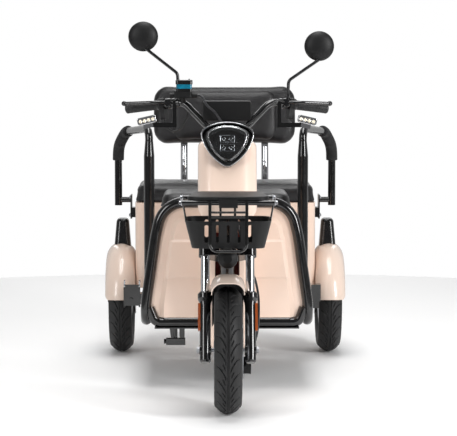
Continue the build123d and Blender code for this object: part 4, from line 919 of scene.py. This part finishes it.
class TRICYCLE_OT_lamps(Operator):
    """Model the diodes and lenses of the lamps, and the reflectors"""

    bl_idname = "tricycle.lamps"
    bl_label = "Lamps"

    def execute(self, context):
        self.headlight()
        self.spotlights()
        self.reflectors()
        return {"FINISHED"}

    def headlight(self):
        """Four projector lenses in two rows, each row in a rounded frame."""
        lamp = Matrix.Translation(metres(from_axle(*HEADLIGHT_MIDDLE))) @ leaning(HEADLIGHT_LEAN)
        lenses = bmesh.new()
        frames = bmesh.new()
        for row in PROJECTOR_ROWS:
            for x in (-12.5, 12.5):
                spot = lamp @ Matrix.Translation((x * 0.001, row * 0.001, -0.0135))
                bmesh.ops.create_uvsphere(
                    lenses, u_segments=20, v_segments=10, radius=0.0091, matrix=spot @ Matrix.Diagonal((1, 1, 0.6, 1))
                )
            frame_line = []
            for step in range(41):
                angle = math.tau * step / 40
                across = max(-1, min(1, 1.5 * math.cos(angle)))
                along = max(-1, min(1, 1.5 * math.sin(angle)))
                spot = lamp @ Vector((0.0235 * across, row * 0.001 + 0.012 * along, -0.0096))
                frame_line.append((spot, 0.0009))
            ringed_tube(frames, frame_line, 8)
        make_piece(frames, "headlight_frames", "steel", "chassis")
        piece = make_piece(lenses, "headlight_projectors", "lens", "chassis")

    def spotlights(self):
        """Four diodes under domes in the front of each spotlight."""
        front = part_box("spotlights")[0][1]
        diodes = bmesh.new()
        domes = bmesh.new()
        for side in (1, -1):
            for step in (-1.5, -0.5, 0.5, 1.5):
                outwards = SPOTLIGHT_X + step * DIODE_STEP * math.cos(SPOTLIGHT_TURN)
                spot = Matrix.Translation(
                    (side * outwards, front, SPOTLIGHT_Z - step * DIODE_STEP * math.sin(SPOTLIGHT_TURN))
                )
                bmesh.ops.create_uvsphere(diodes, u_segments=12, v_segments=6, radius=0.0036, matrix=spot)
                bmesh.ops.create_uvsphere(
                    domes, u_segments=18, v_segments=9, radius=0.0066, matrix=spot @ Matrix.Diagonal((1, 0.7, 1, 1))
                )
        make_piece(diodes, "spotlight_diodes", "diode", "steering")
        make_piece(domes, "spotlight_domes", "lens", "steering")

    def reflectors(self):
        """An amber strip on the outside of each fork leg."""
        amber = bmesh.new()
        for side in (1, -1):
            top = on_steering(side * 95, -44, 158)
            bottom = on_steering(side * 95, -44, 64)
            strip = bmesh.ops.create_cube(amber, size=1.0)
            bmesh.ops.scale(amber, vec=(0.008, 0.012, (top - bottom).length * 0.001), verts=strip["verts"])
            bmesh.ops.transform(amber, matrix=aimed(metres((top + bottom) / 2), STEERING_AXIS), verts=strip["verts"])
        piece = make_piece(amber, "fork_reflectors", "amber", "steering")


class TRICYCLE_OT_fluid_cap(Operator):
    """Model the brake fluid bottle's screw-down cap and the clamp round its foot"""

    bl_idname = "tricycle.fluid_cap"
    bl_label = "Fluid bottle cap"

    def execute(self, context):
        low, high = (Vector(c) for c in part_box("fluid_reservoir"))
        covers = bmesh.new()
        # The cap and then the clamp: its lowest and highest point, and how far it stands out all round.
        for bottom, top, margin in ((high.z - 0.013, high.z + 0.002, 0.0022), (low.z - 0.001, low.z + 0.008, 0.0014)):
            shape = bmesh.ops.create_cube(covers, size=1.0)
            size = Vector((high.x - low.x + 2 * margin, high.y - low.y + 2 * margin, top - bottom))
            bmesh.ops.scale(covers, vec=size, verts=shape["verts"])
            centre = Vector(((low.x + high.x) / 2, (low.y + high.y) / 2, (bottom + top) / 2))
            bmesh.ops.translate(covers, vec=centre, verts=shape["verts"])
        upright = [edge for edge in covers.edges if abs(edge.verts[0].co.z - edge.verts[1].co.z) > 0.004]
        round_edges(covers, upright, 0.009, 6)
        crest = [edge for edge in covers.edges if min(vert.co.z for vert in edge.verts) > high.z + 0.0019]
        round_edges(covers, crest, 0.002, 3)
        for x in (-0.018, 0.018):
            spot = Vector(((low.x + high.x) / 2 + x, (low.y + high.y) / 2, high.z + 0.002))
            add_bolt(covers, spot, (0, 0, 1), 0.0035, 0.0025, washer=False)
        make_piece(covers, "fluid_bottle_cap", "polished", "steering")
        return {"FINISHED"}


SKIRT_RADIUS = 209  # of the front fender's lower edge, in millimetres from the axle


class TRICYCLE_OT_liners(Operator):
    """Line the front fender with black plastic as painted shade under it, and the cowl with red steel"""

    bl_idname = "tricycle.liners"
    bl_label = "Liners"

    def execute(self, context):
        self.fender()
        self.cowl()
        return {"FINISHED"}

    def arch(self, half, crest, corner):
        """Half of an arched section, from the skirt to the crest: x and radius in millimetres."""
        bend = [math.radians(10 * step) for step in range(10)]
        turned = [(half - corner + corner * math.cos(a), crest - corner + corner * math.sin(a)) for a in bend]
        return [(half, SKIRT_RADIUS), *turned]

    def fender(self):
        """A thin black lining under the front fender: painted shade, a dark sheet where its underside is in shadow."""
        outer = self.arch(51.4, 247.4, 34.5)
        inner = self.arch(49.6, 245.6, 32.7)
        section = outer + [(-x, radius) for x, radius in reversed(outer)]
        section += [(-x, radius) for x, radius in inner] + list(reversed(inner))
        start = math.radians(75.5)
        bm = bmesh.new()
        towards = Vector((0, math.sin(start), math.cos(start)))
        verts = [bm.verts.new(metres(FRONT_AXLE + Vector((x, 0, 0)) + towards * radius)) for x, radius in section]
        face = bm.faces.new(verts)
        bmesh.ops.spin(
            bm, geom=[face, *face.verts, *face.edges], cent=metres(FRONT_AXLE), axis=(1, 0, 0), dvec=(0, 0, 0),
            angle=math.radians(97), steps=48, use_merge=False, use_normal_flip=False, use_duplicate=False,
        )
        piece = make_piece(bm, "front_fender_shade_liner", "grained", "steering")

    def cowl(self):
        """A back plate and two side plates, between corners given as x, distance and height."""
        bm = bmesh.new()
        for low, high in (
            ((-40.5, 422, 300), (40.5, 423.5, 560)),
            ((-41, 345, 300), (-39.5, 423, 560)),
            ((39.5, 345, 300), (41, 423, 560)),
        ):
            plate = bmesh.ops.create_cube(bm, size=1.0)
            near, far = metres(from_axle(*low)), metres(from_axle(*high))
            bmesh.ops.scale(bm, vec=far - near, verts=plate["verts"])
            bmesh.ops.translate(bm, vec=(near + far) / 2, verts=plate["verts"])
        make_piece(bm, "cowl_liner", "red", "chassis")


class TRICYCLE_OT_bolts(Operator):
    """Add the bolts that hold the armrests, the rack and the backrest's posts"""

    bl_idname = "tricycle.bolts"
    bl_label = "Bolts"

    def execute(self, context):
        chassis = bmesh.new()
        for side in (1, -1):
            out = Vector((side, 0, 0))
            # The armrests' foot plates, the ends of the rack's rods, and then the backrest posts' feet.
            for distance, z in ((1326, 548), (1374, 548), (1326, 617), (1374, 617)):
                add_bolt(chassis, metres(from_axle(side * 372, distance, z)), out, 0.005, 0.004)
            add_bolt(chassis, metres(from_axle(side * 150, -165, 710)), out, 0.0065, 0.006)
            add_bolt(chassis, metres(from_axle(side * 150, 66, 710)), out, 0.0065, 0.006)
            for x in (-22, 22):
                add_bolt(chassis, metres(from_axle(side * 166 + x, 1707, 608)), (0, 0, 1), 0.0045, 0.004)
        make_piece(chassis, "chassis_bolts", "steel", "chassis")
        return {"FINISHED"}


MIRRORS = ((320, 1210), (-290, 1243))  # x and height of their middles
MIRROR_SEAM = 424  # distance behind the front axle at which a domed back ends
MIRROR_RADIUS = 51.8
MIRROR_BULGE = 24.5
GLASS_DISTANCE = 436.4


class TRICYCLE_OT_mirror_glass(Operator):
    """Model the mirrors' domed backs and fit their glass"""

    bl_idname = "tricycle.mirror_glass"
    bl_label = "Mirror glass"

    def execute(self, context):
        glass = bmesh.new()
        domes = bmesh.new()
        bends = [math.radians(angle) for angle in range(0, 91, 6)]
        outline = [(MIRROR_RADIUS * math.sin(bend), -MIRROR_BULGE * math.cos(bend)) for bend in bends]
        outline += [(MIRROR_RADIUS, 3), (0, 3)]
        for x, z in MIRRORS:
            rows = [from_axle(x + radius, MIRROR_SEAM + depth, z) for radius, depth in outline]
            verts = [domes.verts.new(metres(spot)) for spot in rows]
            edges = [domes.edges.new(pair) for pair in zip(verts, verts[1:])]
            bmesh.ops.spin(
                domes, geom=verts + edges, cent=metres(from_axle(x, MIRROR_SEAM, z)), axis=(0, 1, 0), dvec=(0, 0, 0),
                angle=math.tau, steps=56, use_merge=True, use_normal_flip=False, use_duplicate=False,
            )
        make_piece(domes, "mirror_backs", "grained", "steering")
        for x, z in MIRRORS:
            bmesh.ops.create_cone(
                glass, cap_ends=True, segments=48, radius1=0.047, radius2=0.047, depth=0.0012,
                matrix=aimed(metres(from_axle(x, GLASS_DISTANCE, z)), (0, 1, 0)),
            )
        make_piece(glass, "mirror_glass", "mirror", "steering")
        return {"FINISHED"}


STEPS = (
    TRICYCLE_OT_stage,
    TRICYCLE_OT_finishes,
    TRICYCLE_OT_tyres,
    TRICYCLE_OT_cushions,
    TRICYCLE_OT_grips,
    TRICYCLE_OT_lamps,
    TRICYCLE_OT_fluid_cap,
    TRICYCLE_OT_liners,
    TRICYCLE_OT_bolts,
    TRICYCLE_OT_mirror_glass,
)


class TRICYCLE_PT_panel(Panel):
    """Lists the tricycle's settings and steps"""

    bl_idname = "TRICYCLE_PT_panel"
    bl_label = "Tricycle"
    bl_space_type = "VIEW_3D"
    bl_region_type = "UI"
    bl_category = "Tricycle"

    def draw(self, context):
        scene = context.scene
        for group in (scene.tricycle_colours, scene.tricycle_sizes, scene.tricycle_stage):
            box = self.layout.box()
            for name in group.__annotations__:
                box.prop(group, name)
        for step in STEPS:
            self.layout.operator(step.bl_idname)


SETTINGS = {
    "tricycle_colours": TricycleColours,
    "tricycle_sizes": TricycleSizes,
    "tricycle_stage": TricycleStage,
}


def register():
    """Register the settings, the steps and the panel."""
    for name, group in SETTINGS.items():
        bpy.utils.register_class(group)
        setattr(bpy.types.Scene, name, PointerProperty(type=group))
    for step in (*STEPS, TRICYCLE_PT_panel):
        bpy.utils.register_class(step)


def unregister():
    """Take back what register did."""
    for step in reversed((*STEPS, TRICYCLE_PT_panel)):
        bpy.utils.unregister_class(step)
    for name, group in SETTINGS.items():
        delattr(bpy.types.Scene, name)
        bpy.utils.unregister_class(group)


def main():
    """Run every step in order."""
    register()
    bpy.ops.tricycle.stage()
    bpy.ops.tricycle.finishes()
    bpy.ops.tricycle.tyres()
    bpy.ops.tricycle.cushions()
    bpy.ops.tricycle.grips()
    bpy.ops.tricycle.lamps()
    bpy.ops.tricycle.fluid_cap()
    bpy.ops.tricycle.liners()
    bpy.ops.tricycle.bolts()
    bpy.ops.tricycle.mirror_glass()


if __name__ == "__main__":
    main()
